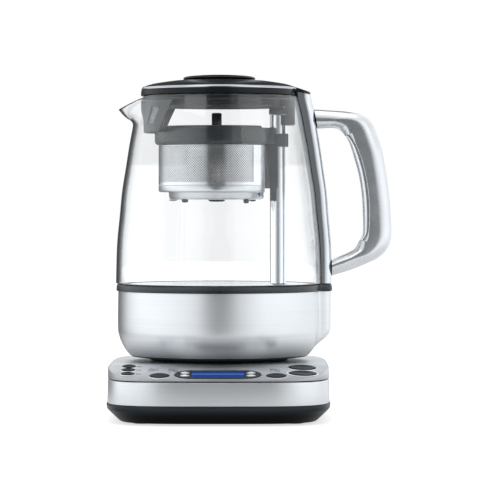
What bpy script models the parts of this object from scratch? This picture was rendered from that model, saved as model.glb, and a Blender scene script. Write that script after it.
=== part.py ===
"""Automatic tea maker: a glass jug on a steel foot, with a basket that a motor lowers and lifts
along a post inside the jug, standing on a cordless power base with a sloping button panel.

Units are metres and +Z is up. -Y is the front with the panel, and +X is the handle side.
All pieces are placed from one empty on the jug's upright axis, at the height of the table.
"""
import math

import bmesh
import bpy
from mathutils import Matrix, Vector

# General
GAP = 0.0003                    # air between two pieces that touch
OVERRUN = 0.003                 # how far a cutter reaches past what it cuts
ROUND_STEPS = 36                # facets of the widest round pieces
BASE_STEPS = 36
MID_STEPS = 28
BUTTON_STEPS = 16
SMALL_STEPS = 12
TINY_STEPS = 10
ARC_LEVELS = 3                  # facets up a slanting piece of a round wall

# Power base, seen from above: a rounded box whose front bows out
BASE_HALF_WIDTH = 0.0858
BASE_FRONT = 0.115              # jug axis to the front edge
BASE_BACK = 0.090               # jug axis to the back edge
BASE_SHOULDER = 0.020           # the widest line lies this far in front of the jug axis
BASE_SQUARENESS = 4.5           # exponent of the outline: 2 is an ellipse, more is squarer

# Feet and bottom pan
FOOT_RADIUS = 0.008
FOOT_HEIGHT = 0.0020
FOOT_PEG_RADIUS = 0.0025
FOOT_PEG_HEIGHT = 0.006
FOOT_SIDE_INSET = 0.0298        # base's widest line to a foot's middle
FOOT_FRONT_INSET = 0.037
FOOT_BACK_INSET = 0.032
PAN_HEIGHT = 0.0122
PAN_CHAMFER = 0.009
PAN_CHAMFER_HEIGHT = 0.0085
PAN_WALL = 0.002

# Steel band and steel top
BAND_HEIGHT = 0.018
BAND_WALL = 0.0012
BAND_INSET = 0.0006             # the band stands this far inside the pan's edge
BAND_DRAFT = 0.0005
TOP_HEIGHT = 0.0097
TOP_WALL = 0.002
TOP_EDGE_ROUND = 0.003
PANEL_REACH = 0.052             # front edge to the line where the panel starts to slope
PANEL_TILT = math.radians(10)

# Display, in the sloping panel: places are measured down the slope from the break line, and
# shares are of the base's half width
DISPLAY_DOWN = 0.033
DISPLAY_HALF_WIDTH_SHARE = 0.3753
DISPLAY_HALF_DEPTH = 0.0125
DISPLAY_PROUD = 0.0006
WINDOW_HALF_WIDTH_SHARE = 0.2331
WINDOW_HALF_DEPTH = 0.0098
MODULE_THICKNESS = 0.0030
BOARD_INSET = 0.0168            # base's widest line to the board's side
BOARD_DEPTH = 0.0340
BOARD_START = 0.0040
BOARD_THICKNESS = 0.0014

# Buttons
BUTTON_CLEARANCE = 0.0003
BUTTON_PROUD = 0.0008
BUTTON_TRAVEL = 0.0010
BUTTON_FLANGE_REACH = 0.0010
BUTTON_FLANGE_THICKNESS = 0.0008
BUTTON_STEM_RADIUS = 0.0012
BUTTON_STEM_END = 0.0044        # panel face to the stem's end
BUTTON_EDGE = 0.0005
TRIO_RADIUS_SHARE = 0.0536
TRIO_SIDE_SHARE = 0.7809
TRIO_DOWN = (0.0305, 0.0180, 0.0068)
ROUND_RADIUS_SHARE = 0.0816
ROUND_SIDE_SHARE = 0.5047
ROUND_DOWN = 0.0370
OVAL_HALF_WIDTH_SHARE = 0.1166
OVAL_HALF_DEPTH_SHARE = 0.0886
OVAL_SIDE_SHARE = 0.7343
OVAL_DOWN = (0.0292, 0.0105)
OVAL_TURN = math.radians(-18)
ARROW_RADIUS = 0.0023
ARROW_SIDE_SHARE = 0.2855
ARROW_SPREAD = 0.0043           # display centre line to an arrow button, down the slope

# Cordless connector in the middle of the base
CONNECTOR_FLANGE_RADIUS = 0.0205
CONNECTOR_BOSS_RADIUS = 0.0120
CONNECTOR_BOSS_TOP = 0.0110     # above the base's flat top
CONNECTOR_DEPTH = 0.0070
COLLAR_WALL = 0.0050
COLLAR_HEIGHT = 0.0036
GLAND_RADIUS = 0.0050
GLAND_LENGTH = 0.0140
GLAND_FLANGE = 0.0022
GLAND_PROUD = 0.0020
GLAND_SIDE = 0.0300

# Jug: steel foot
COVER_BOTTOM_INSET = 0.0156     # inside the shell's widest radius
COVER_EDGE_INSET = 0.0098
COVER_HEIGHT = 0.0040
COVER_WALL = 0.0020
SHELL_RADIUS = 0.0784
SHELL_HEIGHT = 0.0497
SHELL_WALL = 0.0012
SHELL_PROFILE_SHARES = (        # height share, radius share
    (1.000, 0.997), (0.420, 1.000), (0.300, 0.988), (0.180, 0.960), (0.080, 0.924), (0.000, 0.885))
BULGE_PROUD = 0.0081            # shell's widest radius to the outer face of the handle's foot
BULGE_HALF_WIDTH = 0.0150
BULGE_FADE_SHARES = (1.0, 1.0, 0.72, 0.15, 0.0, 0.0)
SEAL_HEIGHT = 0.0050
SEAL_REACH = 0.0012             # the seal stands this far outside the shell
SEAL_DEPTH = 0.0080
PLATE_THICKNESS = 0.0024
ELEMENT_INSET = 0.0154          # post's axis to the heating tube's middle line
ELEMENT_TUBE_RADIUS = 0.0034
ELEMENT_OPENING = math.radians(50)

# Jug: glass
GLASS_PROUD = 0.0016            # the glass's foot stands this far outside the shell
GLASS_HEIGHT = 0.1442
GLASS_WALL = 0.0025
GLASS_PROFILE_SHARES = (        # height share, radius share
    (1.000, 0.775), (0.962, 0.790), (0.927, 0.806), (0.879, 0.824), (0.835, 0.838),
    (0.620, 0.904), (0.490, 0.941), (0.362, 0.963), (0.233, 0.986), (0.000, 1.000))
SPOUT_REACH = 0.0162
SPOUT_DROP = 0.0099
SPOUT_HALF_ANGLE = math.radians(32)
SPOUT_REACH_SHARES = (1.0, 0.72, 0.45, 0.12)
SPOUT_DROP_SHARES = (1.0, 0.85, 0.62, 0.20)

# Handle: strap on the glass, loop, lining and cap
STRAP_HALF_WIDTH = 0.0150
STRAP_FOOT_THICKNESS = 0.0068
STRAP_HEAD_THICKNESS = 0.0088
STRAP_CORNER = 0.0060
STRAP_LIFT = 0.0008             # lid's seat up to the strap's top at its outer face
STRAP_TOP_SLOPE = 0.20          # the strap's top climbs towards the lid by this share
STRAP_CAP_EDGE = 0.0019         # thickness of the cap at the strap's outer face
STRAP_CAP_SLOPE = 0.33          # the cap's top climbs towards the lid by this share
STRAP_CAP_STATIONS = 3          # facets round each outer corner of the cap
HANDLE_DEPTH = 0.0463           # widest part of the strap to the outermost point of the loop
HANDLE_LIFT = 0.0053            # strap's bottom to the loop's lowest point
HANDLE_DROP = 0.0110            # strap's top to the loop's highest point
HANDLE_HALF_WIDTH = 0.0140
HANDLE_CORNER = 0.0050
LINING_THICKNESS = 0.0040
LINING_INSET = 0.0025           # the lining is narrower than the loop by this on each side
LINING_FIRST = 3                # the lining runs between these two of the handle's stations
LINING_LAST = 10
LINING_SHARES = (0.35, 0.75, 1.0, 1.0, 1.0, 1.0, 0.75, 0.35)    # of the lining's thickness
# Share of the way from the strap to the handle's reach, then share of the handle's rise.
HANDLE_OUTER_SHARES = (
    (0.000, 1.000), (0.440, 0.985), (0.640, 0.960), (0.745, 0.915), (0.810, 0.840),
    (0.872, 0.750), (0.917, 0.640), (0.960, 0.510), (0.990, 0.390), (1.000, 0.250),
    (0.957, 0.180), (0.845, 0.128), (0.680, 0.090), (0.340, 0.038), (0.000, 0.000))
HANDLE_INNER_SHARES = (
    (0.000, 0.886), (0.200, 0.890), (0.300, 0.878), (0.375, 0.840), (0.430, 0.780),
    (0.470, 0.705), (0.515, 0.615), (0.545, 0.490), (0.551, 0.385), (0.543, 0.265),
    (0.489, 0.216), (0.405, 0.168), (0.302, 0.144), (0.150, 0.120), (0.000, 0.096))

# Basket lift: post, lead screw, magnet carriage, gears and motor
POST_INSET = 0.0141             # jug's mouth to the post's axis, on the handle's side
POST_HALF_WIDTH = 0.0061        # towards the handle
POST_HALF_DEPTH = 0.0070        # across
POST_CORNER = 0.0025
POST_WALL = 0.0013
POST_DROP = 0.0146              # lid's seat to the post's top
POST_FOOT_REACH = 0.0022
POST_FOOT_HEIGHT = 0.0030
POST_CAP_HEIGHT = 0.0052
POST_CAP_REACH = 0.0008
SCREW_RADIUS = 0.0020
SCREW_CLEARANCE = 0.0004
SCREW_BELOW = 0.0175            # how far the lead screw reaches below the jug's floor
SCREW_BITE = 0.0025             # how far the lead screw reaches into the post's cap
SCREW_AIR = 0.0010
CARRIAGE_CLEARANCE = 0.0005
CARRIAGE_HEIGHT = 0.0200
GEAR_MODULE = 0.00105
GEAR_TEETH = 18
PINION_TEETH = 8
GEAR_THICKNESS = 0.0040
GEAR_MESH_CLEARANCE = 0.00015
TOOTH_ADDENDUM = 0.0009
TOOTH_DEDENDUM = 0.0013
TOOTH_ROOT_SHARE = 0.30         # half width of a tooth at its root, as a share of the pitch
TOOTH_TIP_SHARE = 0.13
GEAR_DROP = 0.0090              # jug floor's underside to the gear's top face
MOTOR_RADIUS = 0.0100
MOTOR_AIR = 0.0010              # motor's top face to the gears
MOTOR_SHAFT_RADIUS = 0.0012
MOTOR_SHAFT_BITE = 0.0060

# Basket, round an axis just beside the jug's
BASKET_AXIS = -0.0020
RIM_AIR = 0.0115                # jug's mouth to the rim
RIM_WALL = 0.0022
RIM_LEDGE = 0.0020
RIM_HEIGHT = 0.0130
RIM_LEDGE_DROP = 0.0023
WALL_INSET = 0.0030             # rim's outside to the wall's outside
WALL_THICKNESS = 0.0006
WALL_HEIGHT = 0.0305
FLAT_AIR = 0.0042               # basket's flat side to the post's face
FLOOR_BAND_HEIGHT = 0.0052
FLOOR_STEP_INSET = 0.0081       # wall's outside to the step's outside
FLOOR_STEP_HEIGHT = 0.0057
FLOOR_WALL = 0.0010
FLOOR_EDGE = 0.0014
RIM_DROP = 0.0106               # post's top to the rim's top, with the basket up
SLIDER_HALF_DEPTH = 0.0096
SLIDER_CORNER = 0.0020
SLIDER_HEIGHT = 0.0323
TONGUE_HEIGHT = 0.0094          # the slider's sides reach this far below its body
TONGUE_WIDTH = 0.0044
COLLAR_RING_HEIGHT = 0.0100
COLLAR_RING_DROP = 0.0040
SLIDER_CLEARANCE = 0.0004
SLIDER_WRAP = 0.0058            # how far the slider reaches round the post, from the post's face
RING_WALL = 0.0014
MAGNET_THICKNESS = 0.0018
MAGNET_HALF_DEPTH = 0.0048
MAGNET_HEIGHT = 0.0200
BASKET_LID_THICKNESS = 0.0020
LID_KNOB_RADIUS = 0.0039
LID_KNOB_HEIGHT = 0.0118
LID_KNOB_STEM = 0.0016
LID_KNOB_STEM_LENGTH = 0.0036

# Jug lid
LID_REST = 0.0012               # the cover rests on the glass this far outside the mouth
LID_LAND = 0.0063               # the cover is solid this far in from its edge
LID_DOME_HEIGHT = 0.0124
LID_WALL = 0.0018
LID_ROOF_SHARES = (             # radius share, share of the dome's height: hollow underneath
    (0.470, 1.000), (0.692, 0.885), (0.830, 0.775))
LID_SHOULDER_SHARES = ((0.900, 0.690), (0.945, 0.615))
TRIM_SHARES = ((0.979, 0.535), (0.993, 0.390))      # upper and lower edge of the trim ring
LID_EDGE_SHARES = ((0.998, 0.240), (1.000, 0.050))
TRIM_SINK = 0.0010
KNOB_RADIUS = 0.0279
KNOB_THICKNESS = 0.0037
KNOB_EDGE = 0.0010
KNOB_PROFILE_SHARES = (         # radius share, share of the knob's thickness
    (0.450, 0.960), (0.750, 0.830), (0.930, 0.600), (1.000, 0.350))
KNOB_STEM_RADIUS = 0.0090
KNOB_STEM_LENGTH = 0.0045
SKIRT_AIR = 0.0007              # jug's mouth to the skirt
SKIRT_WALL = 0.0030
SKIRT_HEIGHT = 0.0084
SKIRT_FLANGE_HEIGHT = 0.0035
SKIRT_NECK_INSET = 0.0064       # below its flange the skirt is narrower by this
SKIRT_GROOVE_DEPTH = 0.0010
SKIRT_GROOVE_HEIGHT = 0.0020
SKIRT_GROOVE_DROP = 0.0008
GASKET_HEIGHT = 0.0016
GASKET_AIR = 0.0003
FILTER_AIR = 0.0009
FILTER_WALL = 0.0024
FILTER_HEIGHT = 0.0243
FILTER_TOP_ANGLE = math.radians(54)
FILTER_BOTTOM_ANGLE = math.radians(39)
FILTER_WINDOW_ANGLE = math.radians(31)
FILTER_WINDOW_WIDTH = 0.0110
FILTER_WINDOW_HEIGHT = 0.0125
MESH_THICKNESS = 0.0005
MESH_AIR = 0.0005               # the filter's frame to its mesh
ARM_THICKNESS = 0.0056
ARM_HALF_ANGLE = math.radians(13)
ARM_HEIGHT = 0.0183

# Colours: red, green, blue, then roughness, metallic and opacity
FINISHES = {
    "brushed_steel": ((0.58, 0.60, 0.62), 0.32, 1.0, 1.0),
    "satin_steel": ((0.66, 0.68, 0.70), 0.22, 1.0, 1.0),
    "mirror_steel": ((0.78, 0.80, 0.82), 0.08, 1.0, 1.0),
    "clear_glass": ((0.93, 0.96, 0.97), 0.03, 0.0, 0.25),
    "slate_plastic": ((0.075, 0.095, 0.110), 0.40, 0.0, 1.0),
    "black_plastic": ((0.012, 0.013, 0.015), 0.25, 0.0, 1.0),
    "black_rubber": ((0.020, 0.020, 0.022), 0.80, 0.0, 1.0),
    "display_glass": ((0.020, 0.040, 0.120), 0.10, 0.0, 1.0),
    "display_blue": ((0.020, 0.045, 0.420), 0.35, 0.0, 1.0),
    "board_green": ((0.020, 0.120, 0.050), 0.50, 0.0, 1.0),
    "white_plastic": ((0.700, 0.700, 0.680), 0.50, 0.0, 1.0),
    "brass": ((0.700, 0.520, 0.220), 0.30, 1.0, 1.0),
}

# Distances from the jug's axis, worked out from the sizes above
FOOT_SIDE = BASE_HALF_WIDTH - FOOT_SIDE_INSET
FOOT_FRONT = BASE_FRONT - FOOT_FRONT_INSET
FOOT_BACK = BASE_BACK - FOOT_BACK_INSET
PANEL_BREAK = BASE_FRONT - PANEL_REACH
BOARD_HALF_WIDTH = BASE_HALF_WIDTH - BOARD_INSET
DISPLAY_HALF_WIDTH = BASE_HALF_WIDTH * DISPLAY_HALF_WIDTH_SHARE
WINDOW_HALF_WIDTH = BASE_HALF_WIDTH * WINDOW_HALF_WIDTH_SHARE
TRIO_RADIUS = BASE_HALF_WIDTH * TRIO_RADIUS_SHARE
TRIO_SIDE = BASE_HALF_WIDTH * TRIO_SIDE_SHARE
ROUND_RADIUS = BASE_HALF_WIDTH * ROUND_RADIUS_SHARE
ROUND_SIDE = BASE_HALF_WIDTH * ROUND_SIDE_SHARE
OVAL_HALF_WIDTH = BASE_HALF_WIDTH * OVAL_HALF_WIDTH_SHARE
OVAL_HALF_DEPTH = BASE_HALF_WIDTH * OVAL_HALF_DEPTH_SHARE
OVAL_SIDE = BASE_HALF_WIDTH * OVAL_SIDE_SHARE
ARROW_SIDE = BASE_HALF_WIDTH * ARROW_SIDE_SHARE
COVER_BOTTOM_RADIUS = SHELL_RADIUS - COVER_BOTTOM_INSET
COVER_EDGE_RADIUS = SHELL_RADIUS - COVER_EDGE_INSET
BULGE_REACH = SHELL_RADIUS + BULGE_PROUD
GLASS_RADIUS = SHELL_RADIUS + GLASS_PROUD
MOUTH_RADIUS = GLASS_RADIUS * GLASS_PROFILE_SHARES[0][1] - GLASS_WALL
POST_AXIS = MOUTH_RADIUS - POST_INSET
ELEMENT_RING_RADIUS = POST_AXIS - ELEMENT_INSET
RIM_RADIUS = MOUTH_RADIUS - RIM_AIR
WALL_RADIUS = RIM_RADIUS - WALL_INSET
FLOOR_STEP_RADIUS = WALL_RADIUS - FLOOR_STEP_INSET
BASKET_FLAT = POST_AXIS - POST_HALF_WIDTH - FLAT_AIR - BASKET_AXIS
SLIDER_FACE = BASKET_AXIS + BASKET_FLAT + GAP
LID_RADIUS = MOUTH_RADIUS + LID_REST
LID_LAND_RADIUS = LID_RADIUS - LID_LAND
SKIRT_RADIUS = MOUTH_RADIUS - SKIRT_AIR
GASKET_RADIUS = MOUTH_RADIUS - GASKET_AIR
FILTER_RADIUS = MOUTH_RADIUS - FILTER_AIR
ARM_INNER = FILTER_RADIUS - ARM_THICKNESS

# Heights above the table, worked out from the sizes above
PAN_BOTTOM = FOOT_HEIGHT + GAP
PAN_TOP = PAN_BOTTOM + PAN_HEIGHT
BAND_BOTTOM = PAN_TOP + GAP
BAND_TOP = BAND_BOTTOM + BAND_HEIGHT
TOP_BOTTOM = BAND_TOP + GAP
BASE_TOP = TOP_BOTTOM + TOP_HEIGHT
COVER_BOTTOM = BASE_TOP + GAP
COVER_TOP = COVER_BOTTOM + COVER_HEIGHT
COVER_FLOOR = COVER_BOTTOM + COVER_WALL
SHELL_BOTTOM = COVER_TOP + GAP
SHELL_TOP = SHELL_BOTTOM + SHELL_HEIGHT
SEAL_BOTTOM = SHELL_TOP + GAP
SEAL_TOP = SEAL_BOTTOM + SEAL_HEIGHT
PLATE_BOTTOM = SEAL_BOTTOM
PLATE_TOP = PLATE_BOTTOM + PLATE_THICKNESS
GLASS_BOTTOM = SEAL_TOP + GAP
GLASS_TOP = GLASS_BOTTOM + GLASS_HEIGHT
LID_BOTTOM = GLASS_TOP + GAP
LID_DOME_TOP = LID_BOTTOM + LID_DOME_HEIGHT
KNOB_BOTTOM = LID_DOME_TOP + GAP
SKIRT_TOP = LID_BOTTOM - GAP
SKIRT_BOTTOM = SKIRT_TOP - SKIRT_HEIGHT
FLANGE_BOTTOM = SKIRT_TOP - SKIRT_FLANGE_HEIGHT
FILTER_TOP = FLANGE_BOTTOM - GAP
FILTER_BOTTOM = FILTER_TOP - FILTER_HEIGHT
STRAP_BOTTOM = SEAL_TOP + GAP
STRAP_TOP = LID_BOTTOM + STRAP_LIFT
HANDLE_LOW = STRAP_BOTTOM + HANDLE_LIFT
HANDLE_RISE = STRAP_TOP - HANDLE_DROP - HANDLE_LOW
HANDLE_REACH = GLASS_RADIUS + STRAP_FOOT_THICKNESS + HANDLE_DEPTH
POST_BOTTOM = PLATE_TOP + GAP
POST_TOP = LID_BOTTOM - POST_DROP
BASKET_RIM_TOP = POST_TOP - RIM_DROP
RIM_BOTTOM = BASKET_RIM_TOP - RIM_HEIGHT
WALL_TOP = RIM_BOTTOM - GAP
WALL_BOTTOM = WALL_TOP - WALL_HEIGHT
FLOOR_TOP = WALL_BOTTOM - GAP
FLOOR_SHOULDER = FLOOR_TOP - FLOOR_BAND_HEIGHT
FLOOR_BOTTOM = FLOOR_SHOULDER - FLOOR_STEP_HEIGHT
SLIDER_TOP = BASKET_RIM_TOP - COLLAR_RING_DROP
SLIDER_SHOULDER = SLIDER_TOP - COLLAR_RING_HEIGHT
SLIDER_BOTTOM = SLIDER_SHOULDER - SLIDER_HEIGHT
TONGUE_BOTTOM = SLIDER_BOTTOM - TONGUE_HEIGHT
GEAR_TOP = PLATE_BOTTOM - GEAR_DROP
GEAR_BOTTOM = GEAR_TOP - GEAR_THICKNESS
MOTOR_TOP = GEAR_BOTTOM - MOTOR_AIR
MOTOR_OFFSET = GEAR_MODULE * (GEAR_TEETH + PINION_TEETH) / 2 + GEAR_MESH_CLEARANCE
BOARD_SINK = TOP_WALL + GAP + MODULE_THICKNESS + GAP     # panel face to the board's top face
GLAND_BACK = BASE_BACK + GAP + GLAND_PROUD
JUG_AXIS = (-(HANDLE_REACH - BASE_HALF_WIDTH) / 2, (BASE_FRONT - GLAND_BACK) / 2)


def finish(name):
    """Material with the colour, roughness, metal and opacity listed for a finish."""
    if name in bpy.data.materials:
        return bpy.data.materials[name]
    colour, roughness, metallic, opacity = FINISHES[name]
    material = bpy.data.materials.new(name)
    material.use_nodes = True
    shader = material.node_tree.nodes["Principled BSDF"]
    shader.inputs["Base Color"].default_value = (*colour, 1)
    shader.inputs["Roughness"].default_value = roughness
    shader.inputs["Metallic"].default_value = metallic
    shader.inputs["Alpha"].default_value = opacity
    material.diffuse_color = (*colour, opacity)
    return material


def place(name, mesh, finish_name, holder, origin=(0, 0, 0), rotation=(0, 0, 0)):
    """Put a mesh into the model; it is written relative to its own origin."""
    piece = bpy.data.objects.new(name, mesh)
    piece.parent = holder
    piece.location = origin
    piece.rotation_euler = rotation
    if finish_name is None:
        CUTTERS.objects.link(piece)
        piece.hide_render = True
        piece.display_type = "WIRE"
        return piece
    PARTS.objects.link(piece)
    mesh.materials.append(finish(finish_name))
    for face in mesh.polygons:
        face.use_smooth = True
    return piece


def solid(name, points, faces):
    """Mesh of a closed body, with its faces turned outwards."""
    mesh = bpy.data.meshes.new(name)
    mesh.from_pydata([Vector(point) for point in points], [], faces)
    work = bmesh.new()
    work.from_mesh(mesh)
    bmesh.ops.recalc_face_normals(work, faces=work.faces)
    work.to_mesh(mesh)
    work.free()
    return mesh


def skin(name, rings, closed=False):
    """Body whose surface runs through rings of points; a closed one comes back to its first."""
    count = len(rings[0])
    points = [point for ring in rings for point in ring]
    faces = []
    for index in range(len(rings) if closed else len(rings) - 1):
        here = index * count
        there = (index + 1) % len(rings) * count
        for step in range(count):
            ahead = (step + 1) % count
            faces.append((here + step, here + ahead, there + ahead, there + step))
    if not closed:
        faces.append(range(count))
        faces.append(range(len(points) - count, len(points)))
    return solid(name, points, [tuple(face) for face in faces])


def turned(name, profile, steps=ROUND_STEPS):
    """Body of revolution about Z from a profile of radius and height pairs, top to bottom.

    A profile that starts and ends on the axis is closed there; any other is closed into a ring.
    """
    on_axis = profile[0][0] == 0
    inner = profile[1:-1] if on_axis else profile
    rings = [[(radius * math.cos(math.tau * step / steps), radius * math.sin(math.tau * step / steps),
               height) for step in range(steps)] for radius, height in inner]
    if not on_axis:
        return skin(name, rings, closed=True)
    return skin(name, rings)


def lifted(outline, height):
    """Flat outline as a ring at a height."""
    return [(x, y, height) for x, y in outline]


def prism(name, outline, bottom, top):
    """Upright body with one outline."""
    return skin(name, [lifted(outline, bottom), lifted(outline, top)])


def tube(name, outer, inner, bottom, top):
    """Upright body between two outlines with as many points each."""
    return skin(name, [lifted(outer, bottom), lifted(outer, top), lifted(inner, top), lifted(inner, bottom)],
                closed=True)


def circle(radius, steps=MID_STEPS, centre=(0, 0)):
    """Round outline."""
    return ellipse(radius, radius, steps, centre)


def ellipse(half_width, half_depth, steps=MID_STEPS, centre=(0, 0), turn=0):
    """Oval outline, turned about its centre."""
    points = []
    for step in range(steps):
        angle = math.tau * step / steps
        x, y = half_width * math.cos(angle), half_depth * math.sin(angle)
        points.append((centre[0] + x * math.cos(turn) - y * math.sin(turn),
                       centre[1] + x * math.sin(turn) + y * math.cos(turn)))
    return points


def rounded_box(half_width, half_depth, corner, centre=(0, 0), corner_steps=4):
    """Outline of a rectangle with round corners."""
    points = []
    for quarter, (side, front) in enumerate(((1, 1), (-1, 1), (-1, -1), (1, -1))):
        for step in range(corner_steps):
            angle = math.pi / 2 * (quarter + step / (corner_steps - 1))
            points.append((centre[0] + side * (half_width - corner) + corner * math.cos(angle),
                           centre[1] + front * (half_depth - corner) + corner * math.sin(angle)))
    return points


def box(left, right, front, back):
    """Outline of a plain rectangle."""
    return [(left, front), (right, front), (right, back), (left, back)]


def cut(piece, *cutters):
    """Take cutters out of a piece, in order."""
    for cutter in cutters:
        boolean = piece.modifiers.new(cutter.name, "BOOLEAN")
        boolean.operation = "DIFFERENCE"
        boolean.solver = "EXACT"
        boolean.object = cutter
    return piece


def soften(piece, width, segments=2):
    """Round a piece's sharp edges."""
    bevel = piece.modifiers.new("edges", "BEVEL")
    bevel.width = width
    bevel.segments = segments
    bevel.limit_method = "ANGLE"
    bevel.angle_limit = math.radians(40)
    return piece


def base_outline(inset):
    """Outline of the power base, moved inwards."""
    points = []
    for step in range(BASE_STEPS):
        angle = math.tau * step / BASE_STEPS
        across, along = math.cos(angle), math.sin(angle)
        reach = (BASE_FRONT - BASE_SHOULDER if along < 0 else BASE_BACK + BASE_SHOULDER) - inset
        power = 2 / BASE_SQUARENESS
        points.append((math.copysign(abs(across) ** power, across) * (BASE_HALF_WIDTH - inset),
                       math.copysign(abs(along) ** power, along) * reach - BASE_SHOULDER))
    return points


def base_housing(root):
    """Pan, feet, steel band and the cord's outlet."""
    chamfer_top = PAN_BOTTOM + PAN_CHAMFER_HEIGHT
    pan = place("base_pan", skin("base_pan", [
        lifted(base_outline(PAN_CHAMFER), PAN_BOTTOM),
        lifted(base_outline(BAND_INSET / 2), chamfer_top),
        lifted(base_outline(0), PAN_TOP),
        lifted(base_outline(PAN_WALL), PAN_TOP),
        lifted(base_outline(PAN_WALL + BAND_INSET), chamfer_top),
        lifted(base_outline(PAN_CHAMFER + PAN_WALL), PAN_BOTTOM + PAN_WALL)]), "black_plastic", root)
    for end, along in (("front", -FOOT_FRONT), ("back", FOOT_BACK)):
        for side, across in (("left", -FOOT_SIDE), ("right", FOOT_SIDE)):
            foot = f"foot_{end}_{side}"
            place(foot, turned(foot, [(0, FOOT_PEG_HEIGHT), (FOOT_PEG_RADIUS, FOOT_PEG_HEIGHT),
                                      (FOOT_PEG_RADIUS, FOOT_HEIGHT), (FOOT_RADIUS, FOOT_HEIGHT),
                                      (FOOT_RADIUS, 0), (0, 0)], SMALL_STEPS),
                  "black_rubber", root, (across, along, 0))
            hole = f"cut_{foot}"
            cut(pan, place(hole, prism(hole, circle(FOOT_PEG_RADIUS + GAP, SMALL_STEPS), -OVERRUN,
                                       FOOT_PEG_HEIGHT + OVERRUN), None, root, (across, along, 0)))
    top_inset = BAND_INSET + BAND_DRAFT
    band = place("base_band", skin("base_band", [
        lifted(base_outline(BAND_INSET), BAND_BOTTOM), lifted(base_outline(top_inset), BAND_TOP),
        lifted(base_outline(top_inset + BAND_WALL), BAND_TOP),
        lifted(base_outline(BAND_INSET + BAND_WALL), BAND_BOTTOM)], closed=True), "brushed_steel", root)
    middle = (BAND_BOTTOM + BAND_TOP) / 2
    gland_turn = (-math.pi / 2, 0, 0)
    bore = GLAND_RADIUS / 2
    flange = GLAND_RADIUS + GLAND_FLANGE
    place("cord_gland", turned("cord_gland", [
        (bore, GLAND_PROUD), (flange, GLAND_PROUD), (flange, 0), (GLAND_RADIUS, 0),
        (GLAND_RADIUS, -GLAND_LENGTH), (bore, -GLAND_LENGTH)], SMALL_STEPS), "black_rubber", root,
        (-GLAND_SIDE, BASE_BACK + GAP, middle), gland_turn)
    cut(band, place("cut_gland", prism("cut_gland", circle(GLAND_RADIUS + GAP, SMALL_STEPS),
                                       -GLAND_LENGTH, OVERRUN),
                    None, root, (-GLAND_SIDE, BASE_BACK, middle), gland_turn))


def panel_blank(name, inset, bottom, top, finish_name, root, slope_name, sink):
    """Body with the base's outline and the panel's slope, sunk below the panel's face."""
    edge = inset + TOP_EDGE_ROUND
    blank = place(name, skin(name, [
        lifted(base_outline(inset), bottom), lifted(base_outline(inset), top - TOP_EDGE_ROUND),
        lifted(base_outline((inset + inset + inset + edge) / 4), top - TOP_EDGE_ROUND / 3),
        lifted(base_outline(edge), top)]), finish_name, root)
    reach = BASE_HALF_WIDTH + OVERRUN
    depth = BASE_FRONT - PANEL_BREAK + BASE_SHOULDER
    slope = place(slope_name, prism(slope_name, box(-reach, reach, -depth, BASE_SHOULDER), -sink,
                                    BASE_SHOULDER), None, root, (0, -PANEL_BREAK, BASE_TOP),
                  (PANEL_TILT, 0, 0))
    return cut(blank, slope)


def base_panel(root, slope):
    """Steel top with its openings, and the display and board under it."""
    top = panel_blank("base_top_panel", BAND_INSET + BAND_DRAFT, TOP_BOTTOM, BASE_TOP, "brushed_steel",
                      root, "cut_slope", 0)
    hollow = panel_blank("cut_hollow", BAND_INSET + BAND_DRAFT + TOP_WALL, TOP_BOTTOM - OVERRUN,
                         BASE_TOP - TOP_WALL, None, root, "cut_hollow_slope", TOP_WALL)
    cut(top, hollow)
    cut(top, place("cut_connector", prism("cut_connector", circle(CONNECTOR_FLANGE_RADIUS + GAP),
                                          BASE_TOP - TOP_WALL - OVERRUN, BASE_TOP + OVERRUN), None, root))
    opening = rounded_box(DISPLAY_HALF_WIDTH + GAP, DISPLAY_HALF_DEPTH + GAP, DISPLAY_HALF_DEPTH,
                          corner_steps=7)
    place_display = (0, -DISPLAY_DOWN, 0)
    cut(top, place("cut_display", prism("cut_display", opening, -TOP_WALL - OVERRUN, OVERRUN), None, slope,
                   place_display))
    bezel = place("display_bezel", prism(
        "display_bezel", rounded_box(DISPLAY_HALF_WIDTH, DISPLAY_HALF_DEPTH, DISPLAY_HALF_DEPTH,
                                     corner_steps=7), -TOP_WALL, DISPLAY_PROUD),
        "slate_plastic", slope, place_display)
    window = box(-WINDOW_HALF_WIDTH, WINDOW_HALF_WIDTH, -WINDOW_HALF_DEPTH, WINDOW_HALF_DEPTH)
    cut(bezel, place("cut_window", prism("cut_window", window, -TOP_WALL - OVERRUN, OVERRUN), None, slope,
                     place_display))
    lens_width, lens_depth = WINDOW_HALF_WIDTH - GAP, WINDOW_HALF_DEPTH - GAP
    place("display_lens", prism("display_lens", box(-lens_width, lens_width, -lens_depth, lens_depth),
                                -TOP_WALL, DISPLAY_PROUD), "display_glass", slope, place_display)
    place("display_module", prism("display_module", window, -TOP_WALL - GAP - MODULE_THICKNESS,
                                  -TOP_WALL - GAP), "display_blue", slope, place_display)
    place("control_board", prism("control_board", box(-BOARD_HALF_WIDTH, BOARD_HALF_WIDTH,
                                                      -BOARD_START - BOARD_DEPTH, -BOARD_START),
                                 -BOARD_SINK - BOARD_THICKNESS, -BOARD_SINK), "board_green", slope)
    return top, bezel


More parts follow.
